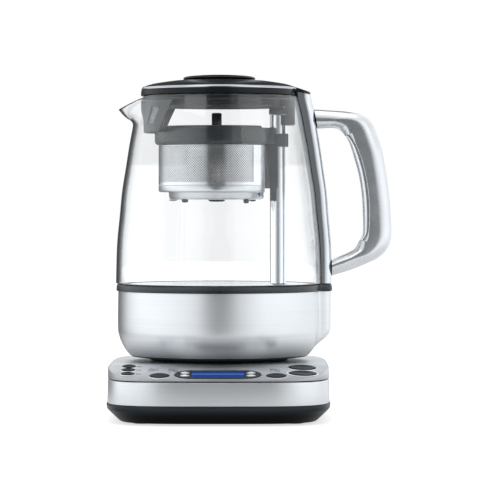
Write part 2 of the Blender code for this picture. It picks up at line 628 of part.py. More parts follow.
def button(name, slope, host, across, down, radius, stretch=1, turn=0, proud=BUTTON_PROUD,
           finish_name="slate_plastic", steps=BUTTON_STEPS):
    """Push button through the panel or the display's bezel, with a flange that keeps it in."""
    flange = radius + BUTTON_FLANGE_REACH
    under = -TOP_WALL - GAP
    profile = [(radius - BUTTON_EDGE, proud), (radius, proud - BUTTON_EDGE), (radius, under),
               (flange, under), (flange, under - BUTTON_FLANGE_THICKNESS),
               (BUTTON_STEM_RADIUS, under - BUTTON_FLANGE_THICKNESS), (BUTTON_STEM_RADIUS, -BUTTON_STEM_END)]
    rings = []
    for size, height in profile:
        wide = size + (stretch - 1) * radius if size >= radius - BUTTON_EDGE else size
        rings.append(lifted(ellipse(wide, size, steps, (0, 0), turn), height))
    place(name, skin(name, rings), finish_name, slope, (across, -down, 0))
    hole = f"cut_{name}"
    cut(host, place(hole, prism(hole, ellipse(radius * stretch + BUTTON_CLEARANCE, radius + BUTTON_CLEARANCE,
                                              steps, (0, 0), turn), -TOP_WALL - OVERRUN, OVERRUN),
                    None, slope, (across, -down, 0)))


def buttons(slope, top, bezel):
    """The eleven buttons."""
    for name, down in zip(("button_left_back", "button_left_middle", "button_left_front"),
                          reversed(TRIO_DOWN)):
        button(name, slope, top, -TRIO_SIDE, down, TRIO_RADIUS)
    button("button_round_left", slope, top, -ROUND_SIDE, ROUND_DOWN, ROUND_RADIUS)
    button("button_round_right", slope, top, ROUND_SIDE, ROUND_DOWN, ROUND_RADIUS)
    stretch = OVAL_HALF_WIDTH / OVAL_HALF_DEPTH
    for name, down in zip(("button_oval_front", "button_oval_back"), OVAL_DOWN):
        button(name, slope, top, OVAL_SIDE, down, OVAL_HALF_DEPTH, stretch, OVAL_TURN)
    for side, across in (("left", -ARROW_SIDE), ("right", ARROW_SIDE)):
        for end, down in (("up", DISPLAY_DOWN - ARROW_SPREAD), ("down", DISPLAY_DOWN + ARROW_SPREAD)):
            button(f"button_{end}_{side}", slope, bezel, across, down, ARROW_RADIUS,
                   proud=DISPLAY_PROUD + BUTTON_PROUD, finish_name="satin_steel", steps=TINY_STEPS)


def connector(root):
    """Round cordless connector, and the collar on it that turns with the jug."""
    seat = BASE_TOP + CONNECTOR_BOSS_TOP
    place("power_connector", turned("power_connector", [
        (0, seat), (CONNECTOR_BOSS_RADIUS, seat), (CONNECTOR_BOSS_RADIUS, BASE_TOP),
        (CONNECTOR_FLANGE_RADIUS, BASE_TOP), (CONNECTOR_FLANGE_RADIUS, BASE_TOP - CONNECTOR_DEPTH),
        (0, BASE_TOP - CONNECTOR_DEPTH)], MID_STEPS), "black_plastic", root)
    inner = CONNECTOR_BOSS_RADIUS + SCREW_CLEARANCE
    outer = inner + COLLAR_WALL
    top = COVER_BOTTOM + COLLAR_HEIGHT
    place("connector_collar", turned("connector_collar", [
        (inner, top), (outer, top), (outer, COVER_BOTTOM), (inner, COVER_BOTTOM)], MID_STEPS),
        "white_plastic", root)


def foot_ring(radius, reach, height, fade=1):
    """Ring of the jug's foot: a circle with the handle's bulge blended in at +X."""
    points = []
    for step in range(ROUND_STEPS):
        angle = math.tau * step / ROUND_STEPS
        x, y = radius * math.cos(angle), radius * math.sin(angle)
        if x > 0 and abs(y) < BULGE_HALF_WIDTH:
            half = BULGE_HALF_WIDTH + reach - BULGE_REACH
            x += (reach - x) * fade
            if 0 < step:
                y += (math.copysign(half, y) - y) * fade
        points.append((x, y, height))
    return points


def foot_shell(name, radius_change, reach_change):
    """Rings of the steel foot, moved in or out, top to bottom."""
    rings = []
    for (rise, share), fade in zip(SHELL_PROFILE_SHARES, BULGE_FADE_SHARES):
        rings.append(foot_ring(SHELL_RADIUS * share + radius_change, BULGE_REACH + reach_change,
                               SHELL_BOTTOM + SHELL_HEIGHT * rise, fade))
    return rings


def glass_radius(height):
    """Outer radius of the glass at a height above the table."""
    rise = (height - GLASS_BOTTOM) / GLASS_HEIGHT
    table = GLASS_PROFILE_SHARES
    for (upper, wide), (lower, wider) in zip(table, table[1:]):
        if rise >= lower:
            mix = min((rise - lower) / (upper - lower), 1)
            return GLASS_RADIUS * (wider + (wide - wider) * mix)
    return GLASS_RADIUS * table[-1][1]


def glass_rings(inset):
    """Rings of the glass from rim to bottom, with the spout drawn out at -X."""
    rings = []
    for index, (rise, share) in enumerate(GLASS_PROFILE_SHARES):
        reach = SPOUT_REACH * (SPOUT_REACH_SHARES[index] if index < len(SPOUT_REACH_SHARES) else 0)
        drop = SPOUT_DROP * (SPOUT_DROP_SHARES[index] if index < len(SPOUT_DROP_SHARES) else 0)
        ring = []
        for step in range(ROUND_STEPS):
            angle = math.tau * step / ROUND_STEPS
            off = abs(angle - math.pi) / SPOUT_HALF_ANGLE
            lobe = math.cos(off * math.pi / 2) ** 2 if off < 1 else 0
            radius = GLASS_RADIUS * share - inset + reach * lobe
            ring.append((radius * math.cos(angle), radius * math.sin(angle),
                         GLASS_BOTTOM + GLASS_HEIGHT * rise - drop * lobe))
        rings.append(ring)
    return rings


def jug_body(root):
    """Glass, seal, steel foot, floor with its heater, bottom cover and socket."""
    place("jug_glass", skin("jug_glass", glass_rings(0) + glass_rings(GLASS_WALL)[::-1], closed=True),
          "clear_glass", root)
    place("jug_shell", skin("jug_shell", foot_shell("outer", 0, 0)
                            + foot_shell("inner", -SHELL_WALL, -SHELL_WALL)[::-1], closed=True),
          "brushed_steel", root)
    seal_radius = SHELL_RADIUS + SEAL_REACH
    seal_reach = BULGE_REACH + SEAL_REACH
    inner = seal_radius - SEAL_DEPTH
    place("jug_seal", tube("jug_seal", [point[:2] for point in foot_ring(seal_radius, seal_reach, 0)],
                           circle(inner, ROUND_STEPS), SEAL_BOTTOM, SEAL_TOP), "slate_plastic", root)
    plate = place("heater_plate", turned("heater_plate", [
        (0, PLATE_TOP), (inner - GAP, PLATE_TOP), (inner - GAP, PLATE_BOTTOM), (0, PLATE_BOTTOM)]),
        "satin_steel", root)
    cut(plate, place("cut_screw_hole", prism("cut_screw_hole", circle(SCREW_RADIUS + SCREW_CLEARANCE,
                                                                      SMALL_STEPS),
                                             PLATE_BOTTOM - OVERRUN, PLATE_TOP + OVERRUN),
                     None, root, (POST_AXIS, 0, 0)))
    rings = []
    turns = MID_STEPS - 1
    for step in range(MID_STEPS):
        angle = ELEMENT_OPENING / 2 + (math.tau - ELEMENT_OPENING) * step / turns
        ring = []
        for side in range(TINY_STEPS - 2):
            around = math.tau * side / (TINY_STEPS - 2)
            radius = ELEMENT_RING_RADIUS + ELEMENT_TUBE_RADIUS * math.cos(around)
            ring.append((radius * math.cos(angle), radius * math.sin(angle),
                         PLATE_BOTTOM - GAP - ELEMENT_TUBE_RADIUS + ELEMENT_TUBE_RADIUS * math.sin(around)))
        rings.append(ring)
    place("heating_element", skin("heating_element", rings), "satin_steel", root)
    socket = CONNECTOR_BOSS_RADIUS + SCREW_CLEARANCE + COLLAR_WALL + SCREW_CLEARANCE
    wall = COVER_WALL
    place("jug_base_cover", turned("jug_base_cover", [
        (COVER_EDGE_RADIUS - wall, COVER_TOP), (COVER_EDGE_RADIUS, COVER_TOP),
        (COVER_BOTTOM_RADIUS + wall, COVER_BOTTOM + wall / 2), (COVER_BOTTOM_RADIUS, COVER_BOTTOM),
        (socket, COVER_BOTTOM), (socket, COVER_FLOOR), (COVER_BOTTOM_RADIUS - wall, COVER_FLOOR)]),
        "black_plastic", root)
    bottom = COVER_FLOOR + GAP
    collar_room = COVER_BOTTOM + COLLAR_HEIGHT + SCREW_CLEARANCE
    boss_room = BASE_TOP + CONNECTOR_BOSS_TOP + SCREW_CLEARANCE
    bore = CONNECTOR_BOSS_RADIUS + SCREW_CLEARANCE + GAP
    place("jug_connector", turned("jug_connector", [
        (0, boss_room + wall), (bore + wall, boss_room + wall), (bore + wall, collar_room + wall),
        (socket + wall + wall, collar_room + wall), (socket + wall + wall, bottom), (socket, bottom),
        (socket, collar_room), (bore, collar_room), (bore, boss_room), (0, boss_room)], MID_STEPS),
        "white_plastic", root)


def strap_face(height):
    """Distance from the jug's axis to the outer face of the handle's strap."""
    rise = (height - STRAP_BOTTOM) / (STRAP_TOP - STRAP_BOTTOM)
    return glass_radius(height) + STRAP_FOOT_THICKNESS + (STRAP_HEAD_THICKNESS - STRAP_FOOT_THICKNESS) * rise


def strap_ring(height, face_height=None):
    """Section of the strap: hollow side on the glass, flat side with round corners outside."""
    inner = glass_radius(height) + GAP
    face = strap_face(height if face_height is None else face_height)
    points = []
    spread = math.asin(STRAP_HALF_WIDTH / inner)
    steps = 4
    for step in range(steps + 1):
        angle = spread - 2 * spread * step / steps
        points.append((inner * math.cos(angle), inner * math.sin(angle), height))
    for front in (-1, 1):
        for step in range(3):
            angle = math.pi / 4 * step
            along, across = math.cos(angle), math.sin(angle)
            if front < 0:
                along, across = across, along
            points.append((face - STRAP_CORNER + STRAP_CORNER * along,
                           front * (STRAP_HALF_WIDTH - STRAP_CORNER + STRAP_CORNER * across), height))
    return points


def handle(root):
    """Strap up the glass with its cap, and the loop with its lining."""
    heights = [STRAP_BOTTOM] + [GLASS_BOTTOM + GLASS_HEIGHT * rise for rise, _ in reversed(GLASS_PROFILE_SHARES)
                                if STRAP_BOTTOM < GLASS_BOTTOM + GLASS_HEIGHT * rise < STRAP_TOP] + [STRAP_TOP]
    face = strap_face(STRAP_TOP)
    rings = [strap_ring(height) for height in heights]
    rings[-1] = [(x, y, z + (face - x) * STRAP_TOP_SLOPE) for x, y, z in rings[-1]]
    place("handle_strap", skin("handle_strap", rings), "satin_steel", root)
    place("strap_cap", skin("strap_cap", cap_rings(face)), "black_plastic", root)
    rail = []
    for outer, inner in zip(HANDLE_OUTER_SHARES, HANDLE_INNER_SHARES):
        ends = []
        for share, rise in (outer, inner):
            height = HANDLE_LOW + HANDLE_RISE * rise
            start = strap_face(height) + GAP
            ends.append(Vector((start + (HANDLE_REACH - start) * share, 0, height)))
        rail.append(ends)
    loop, lining = [], []
    for station, (outer, inner) in enumerate(rail):
        whole = band_ring(inner, outer, HANDLE_HALF_WIDTH, HANDLE_CORNER)
        if not LINING_FIRST <= station <= LINING_LAST:
            loop.append(whole)
            continue
        way = (outer - inner).normalized()
        split = inner + way * LINING_THICKNESS * LINING_SHARES[station - LINING_FIRST]
        recess = band_ring(split + way * GAP, outer, HANDLE_HALF_WIDTH, HANDLE_CORNER)
        strip = band_ring(inner, split, HANDLE_HALF_WIDTH - LINING_INSET, LINING_THICKNESS / SMALL_STEPS)
        if station == LINING_FIRST:
            loop.append(whole)
            strip = shifted(strip, rail[station + 1][1] - inner)
        loop.append(recess)
        if station == LINING_LAST:
            loop.append(whole)
            strip = shifted(strip, rail[station - 1][1] - inner)
        lining.append(strip)
    place("handle_loop", skin("handle_loop", loop), "satin_steel", root)
    place("handle_lining", skin("handle_lining", lining), "satin_steel", root)


def shifted(ring, way):
    """Ring moved by the usual gap, away from the recess's end."""
    return [tuple(Vector(point) + way.normalized() * GAP) for point in ring]


def cap_rings(face):
    """Side views of the strap's cap from one side to the other: a wedge that closes on the lid's edge."""
    straight = STRAP_HALF_WIDTH - STRAP_CORNER
    corner = STRAP_CORNER - GAP
    angles = [math.pi / 2 * step / STRAP_CAP_STATIONS for step in range(STRAP_CAP_STATIONS + 1)]
    ends = [(straight + corner * math.sin(angle), face - STRAP_CORNER + corner * math.cos(angle))
            for angle in angles]
    middle = [(straight * step / STRAP_CAP_STATIONS, face - GAP)
              for step in range(1 - STRAP_CAP_STATIONS, STRAP_CAP_STATIONS)]
    rings = []
    for y, end in [(-y, end) for y, end in reversed(ends)] + middle + ends:
        lip, rim, back = (math.sqrt(radius ** 2 - y ** 2) for radius in (
            LID_RADIUS + GAP, glass_radius(GLASS_TOP), glass_radius(GLASS_TOP) + GAP))
        top = STRAP_TOP + STRAP_CAP_EDGE
        ring = [(lip, GLASS_TOP + GAP), (rim, GLASS_TOP + GAP),
                (rim, STRAP_TOP + GAP + (face - back) * STRAP_TOP_SLOPE),
                (end, STRAP_TOP + GAP + (face - end) * STRAP_TOP_SLOPE),
                (end, top + (face - end) * STRAP_CAP_SLOPE), (lip, top + (face - lip) * STRAP_CAP_SLOPE)]
        rings.append([(x, y, z) for x, z in ring])
    return rings


def band_ring(inner, outer, half_width, corner):
    """Round-cornered section between two points in the upright plane through the handle."""
    way = outer - inner
    middle = (inner + outer) / 2
    long = way.length / 2
    way.normalize()
    return [tuple(middle + way * along + Vector((0, across, 0)))
            for along, across in rounded_box(long, half_width, corner, corner_steps=3)]


def gear_outline(teeth, turn):
    """Outline of a spur gear with straight-sided teeth."""
    pitch_radius = GEAR_MODULE * teeth / 2
    step = math.tau / teeth
    points = []
    for tooth in range(teeth):
        for share, radius in ((-TOOTH_ROOT_SHARE, pitch_radius - TOOTH_DEDENDUM),
                              (-TOOTH_TIP_SHARE, pitch_radius + TOOTH_ADDENDUM),
                              (TOOTH_TIP_SHARE, pitch_radius + TOOTH_ADDENDUM),
                              (TOOTH_ROOT_SHARE, pitch_radius - TOOTH_DEDENDUM)):
            angle = turn + (tooth + share) * step
            points.append((radius * math.cos(angle), radius * math.sin(angle)))
    return points


def lift(root):
    """Post in the jug, and the lead screw, magnet carriage, gears and motor that work the basket."""
    centre = (POST_AXIS, 0, 0)
    outer = rounded_box(POST_HALF_WIDTH, POST_HALF_DEPTH, POST_CORNER)
    inner_width, inner_depth = POST_HALF_WIDTH - POST_WALL, POST_HALF_DEPTH - POST_WALL
    inner = rounded_box(inner_width, inner_depth, POST_CORNER - POST_WALL)
    foot = rounded_box(POST_HALF_WIDTH + POST_FOOT_REACH, POST_HALF_DEPTH + POST_FOOT_REACH, POST_CORNER)
    foot_top = POST_BOTTOM + POST_FOOT_HEIGHT
    place("guide_post", skin("guide_post", [
        lifted(foot, POST_BOTTOM), lifted(foot, foot_top), lifted(outer, foot_top), lifted(outer, POST_TOP),
        lifted(inner, POST_TOP), lifted(inner, POST_BOTTOM)], closed=True), "satin_steel", root, centre)
    cap_bottom = POST_TOP + GAP
    bore = SCREW_RADIUS + SCREW_CLEARANCE
    cap = place("post_cap", skin("post_cap", [
        lifted(rounded_box(POST_HALF_WIDTH + POST_CAP_REACH, POST_HALF_DEPTH + POST_CAP_REACH, POST_CORNER),
               cap_bottom + rise) for rise in (0, POST_CAP_HEIGHT)]), "slate_plastic", root, centre)
    cut(cap, place("cut_cap_bore", prism("cut_cap_bore", circle(bore, SMALL_STEPS), cap_bottom - OVERRUN,
                                         POST_TOP + SCREW_BITE + SCREW_AIR), None, root, centre))
    screw_bottom = PLATE_BOTTOM - SCREW_BELOW
    place("lead_screw", prism("lead_screw", circle(SCREW_RADIUS, TINY_STEPS), screw_bottom,
                              POST_TOP + SCREW_BITE), "satin_steel", root, centre)
    gear_bore = circle(SCREW_RADIUS + GAP, GEAR_TEETH * 4)
    place("screw_gear", tube("screw_gear", gear_outline(GEAR_TEETH, 0), gear_bore, GEAR_BOTTOM, GEAR_TOP),
          "white_plastic", root, centre)
    facing = GEAR_TEETH / 4 % 1 * math.tau / GEAR_TEETH      # gear's tooth to the line of centres
    meshing = -math.pi / 2 + math.pi / PINION_TEETH + facing * GEAR_TEETH / PINION_TEETH
    pinion = place("motor_pinion", skin("motor_pinion", [
        lifted(circle(MOTOR_SHAFT_RADIUS, PINION_TEETH * 4), MOTOR_TOP - MOTOR_SHAFT_BITE),
        lifted(circle(MOTOR_SHAFT_RADIUS, PINION_TEETH * 4), GEAR_BOTTOM),
        lifted(gear_outline(PINION_TEETH, meshing), GEAR_BOTTOM),
        lifted(gear_outline(PINION_TEETH, meshing), GEAR_TOP)]), "brass", root, (POST_AXIS, MOTOR_OFFSET, 0))
    pinion.data.update()
    motor = place("lift_motor", turned("lift_motor", [
        (0, MOTOR_TOP), (MOTOR_RADIUS, MOTOR_TOP), (MOTOR_RADIUS, COVER_FLOOR + GAP), (0, COVER_FLOOR + GAP)],
        MID_STEPS), "satin_steel", root, (POST_AXIS, MOTOR_OFFSET, 0))
    cut(motor, place("cut_shaft", prism("cut_shaft", circle(MOTOR_SHAFT_RADIUS + SCREW_CLEARANCE,
                                                            SMALL_STEPS),
                                        MOTOR_TOP - MOTOR_SHAFT_BITE - MOTOR_AIR, MOTOR_TOP + OVERRUN),
                     None, root, (POST_AXIS, MOTOR_OFFSET, 0)))
    carriage = rounded_box(inner_width - CARRIAGE_CLEARANCE, inner_depth - CARRIAGE_CLEARANCE, POST_WALL)
    place("magnet_carriage", tube("magnet_carriage", carriage, circle(bore, len(carriage)), SLIDER_BOTTOM,
                                  SLIDER_BOTTOM + CARRIAGE_HEIGHT), "slate_plastic", root, centre)


def basket_ring(radius, height, flat=BASKET_FLAT):
    """Round outline of the basket with its flat side at the post."""
    return [(min(x, flat), y, height) for x, y in circle(radius)]


def basket(root):
    """Rim, strainer wall, floor, slider with its magnet, and the basket's own lid with a knob."""
    axis = (BASKET_AXIS, 0, 0)
    ledge = BASKET_RIM_TOP - RIM_LEDGE_DROP
    thick, thin = RIM_WALL + RIM_LEDGE, RIM_WALL
    rim = place("basket_rim", skin("basket_rim", [
        basket_ring(RIM_RADIUS, RIM_BOTTOM, RIM_RADIUS), basket_ring(RIM_RADIUS, BASKET_RIM_TOP, RIM_RADIUS),
        basket_ring(RIM_RADIUS - thin, BASKET_RIM_TOP, BASKET_FLAT - thin),
        basket_ring(RIM_RADIUS - thin, ledge, BASKET_FLAT - thin),
        basket_ring(RIM_RADIUS - thick, ledge, BASKET_FLAT - thick),
        basket_ring(RIM_RADIUS - thick, RIM_BOTTOM, BASKET_FLAT - thick)], closed=True),
        "slate_plastic", root, axis)
    cut(rim, place("cut_slider_room", prism("cut_slider_room", box(
        BASKET_FLAT, RIM_RADIUS + OVERRUN, -SLIDER_HALF_DEPTH - GAP, SLIDER_HALF_DEPTH + GAP),
        RIM_BOTTOM - OVERRUN, BASKET_RIM_TOP + OVERRUN), None, root, axis))
    inside, inside_flat = WALL_RADIUS - WALL_THICKNESS, BASKET_FLAT - WALL_THICKNESS
    place("basket_wall", skin("basket_wall", [
        basket_ring(WALL_RADIUS, WALL_BOTTOM), basket_ring(WALL_RADIUS, WALL_TOP),
        basket_ring(inside, WALL_TOP, inside_flat), basket_ring(inside, WALL_BOTTOM, inside_flat)],
        closed=True), "mirror_steel", root, axis)
    step, edge, wall = FLOOR_STEP_RADIUS, FLOOR_EDGE, FLOOR_WALL
    place("basket_floor", skin("basket_floor", [
        basket_ring(step - edge, FLOOR_BOTTOM), basket_ring(step, FLOOR_BOTTOM + edge),
        basket_ring(step, FLOOR_SHOULDER), basket_ring(WALL_RADIUS - edge, FLOOR_SHOULDER),
        basket_ring(WALL_RADIUS, FLOOR_SHOULDER + edge), basket_ring(WALL_RADIUS, FLOOR_TOP),
        basket_ring(WALL_RADIUS - wall, FLOOR_TOP, BASKET_FLAT - wall),
        basket_ring(WALL_RADIUS - wall - edge, FLOOR_SHOULDER + wall, BASKET_FLAT - wall),
        basket_ring(step - wall, FLOOR_SHOULDER + wall), basket_ring(step - wall - edge, FLOOR_BOTTOM + wall)]),
        "mirror_steel", root, axis)
    seat = ledge + GAP
    lid_top = seat + BASKET_LID_THICKNESS
    lid_radius, lid_flat = RIM_RADIUS - thin - GAP, BASKET_FLAT - thin - GAP
    bore = circle(LID_KNOB_STEM + GAP)
    place("basket_lid", skin("basket_lid", [
        basket_ring(lid_radius, seat, lid_flat), basket_ring(lid_radius, lid_top, lid_flat),
        lifted(bore, lid_top), lifted(bore, seat)], closed=True), "slate_plastic", root, axis)
    knob = lid_top + GAP
    place("basket_lid_knob", turned("basket_lid_knob", [
        (0, knob + LID_KNOB_HEIGHT), (LID_KNOB_RADIUS - BUTTON_EDGE, knob + LID_KNOB_HEIGHT),
        (LID_KNOB_RADIUS, knob + LID_KNOB_HEIGHT - BUTTON_EDGE), (LID_KNOB_RADIUS, knob),
        (LID_KNOB_STEM, knob), (LID_KNOB_STEM, knob - LID_KNOB_STEM_LENGTH),
        (0, knob - LID_KNOB_STEM_LENGTH)], SMALL_STEPS), "black_plastic", root, axis)
    slider(root)


def slider(root):
    """Slider that rides on the post, with a ring round it at the top and a magnet in its back."""
    post_near = POST_AXIS - POST_HALF_WIDTH
    ring_far = POST_AXIS + POST_HALF_WIDTH + SLIDER_CLEARANCE + RING_WALL
    centre = (SLIDER_FACE + ring_far) / 2
    half = (ring_far - SLIDER_FACE) / 2
    body = place("basket_slider", prism("basket_slider", rounded_box(
        half, SLIDER_HALF_DEPTH, SLIDER_CORNER, (centre, 0)), TONGUE_BOTTOM, SLIDER_TOP), "slate_plastic", root)
    low, high = TONGUE_BOTTOM - OVERRUN, SLIDER_TOP + OVERRUN
    side = SLIDER_HALF_DEPTH + OVERRUN
    cut(body,
        place("cut_post_way", prism("cut_post_way", rounded_box(
            POST_HALF_WIDTH + SLIDER_CLEARANCE, POST_HALF_DEPTH + SLIDER_CLEARANCE, POST_CORNER,
            (POST_AXIS, 0)), low, high), None, root),
        place("cut_slider_back", prism("cut_slider_back", box(
            post_near + SLIDER_WRAP, ring_far + OVERRUN, -side, side), low, SLIDER_SHOULDER), None, root),
        place("cut_slider_foot", prism("cut_slider_foot", box(
            SLIDER_FACE - OVERRUN, post_near, -side, side), low, SLIDER_BOTTOM), None, root),
        place("cut_tongue_back", prism("cut_tongue_back", box(
            post_near + TONGUE_WIDTH, ring_far + OVERRUN, -side, side), low, SLIDER_BOTTOM), None, root))
    depth = post_near - SLIDER_CLEARANCE - SLIDER_FACE
    left = SLIDER_FACE + (depth - MAGNET_THICKNESS) / 2
    right = left + MAGNET_THICKNESS
    room = MAGNET_HALF_DEPTH + GAP
    cut(body, place("cut_magnet", prism("cut_magnet", box(left - GAP, right + GAP, -room, room), low,
                                        SLIDER_BOTTOM + MAGNET_HEIGHT + GAP), None, root))
    place("slider_magnet", prism("slider_magnet", box(left, right, -MAGNET_HALF_DEPTH, MAGNET_HALF_DEPTH),
                                 SLIDER_BOTTOM, SLIDER_BOTTOM + MAGNET_HEIGHT), "satin_steel", root)


def arc_rings(inner, outer, bottom, top, bottom_angle, top_angle, middle):
    """Rings of a piece of a ring wall whose ends slant from one angle to another."""
    levels = [level / ARC_LEVELS for level in range(ARC_LEVELS + 1)]
    rings = []
    for step in range(TINY_STEPS + 1):
        side = step / TINY_STEPS * 2 - 1
        ring = []
        for radius, order in ((inner, levels), (outer, levels[::-1])):
            for level in order:
                angle = middle + (bottom_angle + (top_angle - bottom_angle) * level) * side
                ring.append((radius * math.cos(angle), radius * math.sin(angle), bottom + (top - bottom) * level))
        rings.append(ring)
    return rings


def lid(root):
    """Domed cover, trim ring, knob, skirt with its gasket, filter at the spout and arm at the handle."""
    roof, shoulder, trim, edge = ([(LID_RADIUS * share, LID_BOTTOM + LID_DOME_HEIGHT * rise)
                                   for share, rise in table]
                                  for table in (LID_ROOF_SHARES, LID_SHOULDER_SHARES, TRIM_SHARES,
                                                LID_EDGE_SHARES))
    (high_radius, high), (low_radius, low) = trim
    inner = LID_LAND_RADIUS
    hole = KNOB_STEM_RADIUS + GAP
    place("lid_cover", turned("lid_cover", [(hole, LID_DOME_TOP)] + roof + shoulder + [
        (high_radius, high + GAP), (high_radius - TRIM_SINK, high + GAP), (low_radius - TRIM_SINK, low - GAP),
        (low_radius, low - GAP)] + edge + [
        (LID_RADIUS, LID_BOTTOM), (inner, LID_BOTTOM), (inner - LID_WALL, roof[-1][1] - LID_WALL - LID_WALL)]
        + [(radius, height - LID_WALL) for radius, height in reversed(roof)]
        + [(hole, LID_DOME_TOP - LID_WALL)]), "black_plastic", root)
    thick = TRIM_SINK - GAP
    place("lid_trim_ring", turned("lid_trim_ring", trim + [
        (radius - thick, height) for radius, height in reversed(trim)]), "mirror_steel", root)
    place("lid_knob", turned("lid_knob", [(0, KNOB_BOTTOM + KNOB_THICKNESS)] + [
        (KNOB_RADIUS * share, KNOB_BOTTOM + KNOB_THICKNESS * rise) for share, rise in KNOB_PROFILE_SHARES] + [
        (KNOB_RADIUS - KNOB_EDGE, KNOB_BOTTOM),
        (KNOB_STEM_RADIUS, KNOB_BOTTOM), (KNOB_STEM_RADIUS, KNOB_BOTTOM - KNOB_STEM_LENGTH),
        (0, KNOB_BOTTOM - KNOB_STEM_LENGTH)]), "black_plastic", root)
    groove_top = SKIRT_TOP - SKIRT_GROOVE_DROP
    groove_bottom = groove_top - SKIRT_GROOVE_HEIGHT
    groove = SKIRT_RADIUS - SKIRT_GROOVE_DEPTH
    neck = SKIRT_RADIUS - SKIRT_NECK_INSET
    place("lid_skirt", turned("lid_skirt", [
        (SKIRT_RADIUS, SKIRT_TOP), (SKIRT_RADIUS, groove_top), (groove, groove_top), (groove, groove_bottom),
        (SKIRT_RADIUS, groove_bottom), (SKIRT_RADIUS, FLANGE_BOTTOM), (neck, FLANGE_BOTTOM),
        (neck, SKIRT_BOTTOM), (neck - SKIRT_WALL, SKIRT_BOTTOM), (neck - SKIRT_WALL, SKIRT_TOP)]),
        "slate_plastic", root)
    gasket_top = groove_top - (SKIRT_GROOVE_HEIGHT - GASKET_HEIGHT) / 2
    place("lid_gasket", turned("lid_gasket", [
        (GASKET_RADIUS, gasket_top), (GASKET_RADIUS, gasket_top - GASKET_HEIGHT),
        (groove + GAP, gasket_top - GASKET_HEIGHT), (groove + GAP, gasket_top)]), "black_rubber", root)
    inside = FILTER_RADIUS - FILTER_WALL
    frame = place("spout_filter", skin("spout_filter", arc_rings(
        inside, FILTER_RADIUS, FILTER_BOTTOM, FILTER_TOP, FILTER_BOTTOM_ANGLE, FILTER_TOP_ANGLE, math.pi)),
        "slate_plastic", root)
    middle = (FILTER_BOTTOM + FILTER_TOP) / 2
    for side, turn in (("left", math.pi - FILTER_WINDOW_ANGLE), ("right", math.pi + FILTER_WINDOW_ANGLE)):
        window = f"cut_filter_{side}"
        cut(frame, place(window, prism(window, box(inside - OVERRUN, FILTER_RADIUS + OVERRUN,
                                                   -FILTER_WINDOW_WIDTH / 2,
                                                   FILTER_WINDOW_WIDTH / 2),
                                       middle - FILTER_WINDOW_HEIGHT / 2, middle + FILTER_WINDOW_HEIGHT / 2),
                         None, root, (0, 0, 0), (0, 0, turn)))
    mesh_outer = inside - MESH_AIR
    place("spout_filter_mesh", skin("spout_filter_mesh", arc_rings(
        mesh_outer - MESH_THICKNESS, mesh_outer, FILTER_BOTTOM, FILTER_TOP, FILTER_BOTTOM_ANGLE,
        FILTER_TOP_ANGLE, math.pi)), "mirror_steel", root)
    place("lid_rear_arm", skin("lid_rear_arm", arc_rings(
        ARM_INNER, FILTER_RADIUS, FILTER_TOP - ARM_HEIGHT, FILTER_TOP, ARM_HALF_ANGLE, ARM_HALF_ANGLE, 0)),
        "slate_plastic", root)


def empty(name, location, rotation=(0, 0, 0), holder=None):
    """Empty that carries other objects."""
    carrier = bpy.data.objects.new(name, None)
    carrier.location = location
    carrier.rotation_euler = rotation
    carrier.parent = holder
    PARTS.objects.link(carrier)
    return carrier


for old in list(bpy.data.objects):
    bpy.data.objects.remove(old)
PARTS = bpy.data.collections.new("automatic_tea_maker")
CUTTERS = bpy.data.collections.new("cutters")
for group in (PARTS, CUTTERS):
    bpy.context.scene.collection.children.link(group)

jug_axis = empty("jug_axis", (*JUG_AXIS, 0))
panel_slope = empty("panel_slope", (0, -PANEL_BREAK, BASE_TOP), (PANEL_TILT, 0, 0), jug_axis)
base_housing(jug_axis)
panel_top, panel_bezel = base_panel(jug_axis, panel_slope)
buttons(panel_slope, panel_top, panel_bezel)
connector(jug_axis)
jug_body(jug_axis)
handle(jug_axis)
lift(jug_axis)
basket(jug_axis)
lid(jug_axis)
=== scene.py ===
"""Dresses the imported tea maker: fine surfaces and finishes round the fixed CAD frame.

Every shape is given in metres from the jug's upright axis at the height of the table, worked out as
whole numpy arrays, and moved to the frame's place when its mesh is made.
"""
import logging
import math
from dataclasses import dataclass, field
from enum import Enum
from typing import Callable, Iterable, Optional, Sequence

import bmesh
import bpy
import numpy as np
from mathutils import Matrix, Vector


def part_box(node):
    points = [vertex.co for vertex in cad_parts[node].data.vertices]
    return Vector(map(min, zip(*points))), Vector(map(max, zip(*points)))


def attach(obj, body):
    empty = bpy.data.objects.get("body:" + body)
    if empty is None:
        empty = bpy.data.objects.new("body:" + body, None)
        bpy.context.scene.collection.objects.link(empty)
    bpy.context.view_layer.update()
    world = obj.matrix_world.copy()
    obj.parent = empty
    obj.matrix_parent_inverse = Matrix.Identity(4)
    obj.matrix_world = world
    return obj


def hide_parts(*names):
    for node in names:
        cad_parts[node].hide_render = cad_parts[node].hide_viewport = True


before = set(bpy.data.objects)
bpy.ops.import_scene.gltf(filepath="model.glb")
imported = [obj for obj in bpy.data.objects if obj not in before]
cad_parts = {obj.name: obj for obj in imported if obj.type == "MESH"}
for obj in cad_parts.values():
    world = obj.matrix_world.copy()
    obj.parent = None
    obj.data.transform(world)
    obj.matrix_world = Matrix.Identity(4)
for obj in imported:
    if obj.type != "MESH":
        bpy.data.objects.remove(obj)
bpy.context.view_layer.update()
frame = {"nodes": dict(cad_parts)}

LOG = logging.getLogger("tea_maker")
TURN = math.tau

Pair = tuple[float, float]
Triple = tuple[float, float, float]
Body = tuple[np.ndarray, list[list[int]]]        # points from the jug's axis, and each face's vertex numbers


def jug_axis() -> np.ndarray:
    """Place of the jug's upright axis on the table, from the lid knob's CAD node."""
    low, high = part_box("lid_knob")
    return np.array([(low.x + high.x) / 2, (low.y + high.y) / 2, 0.0])


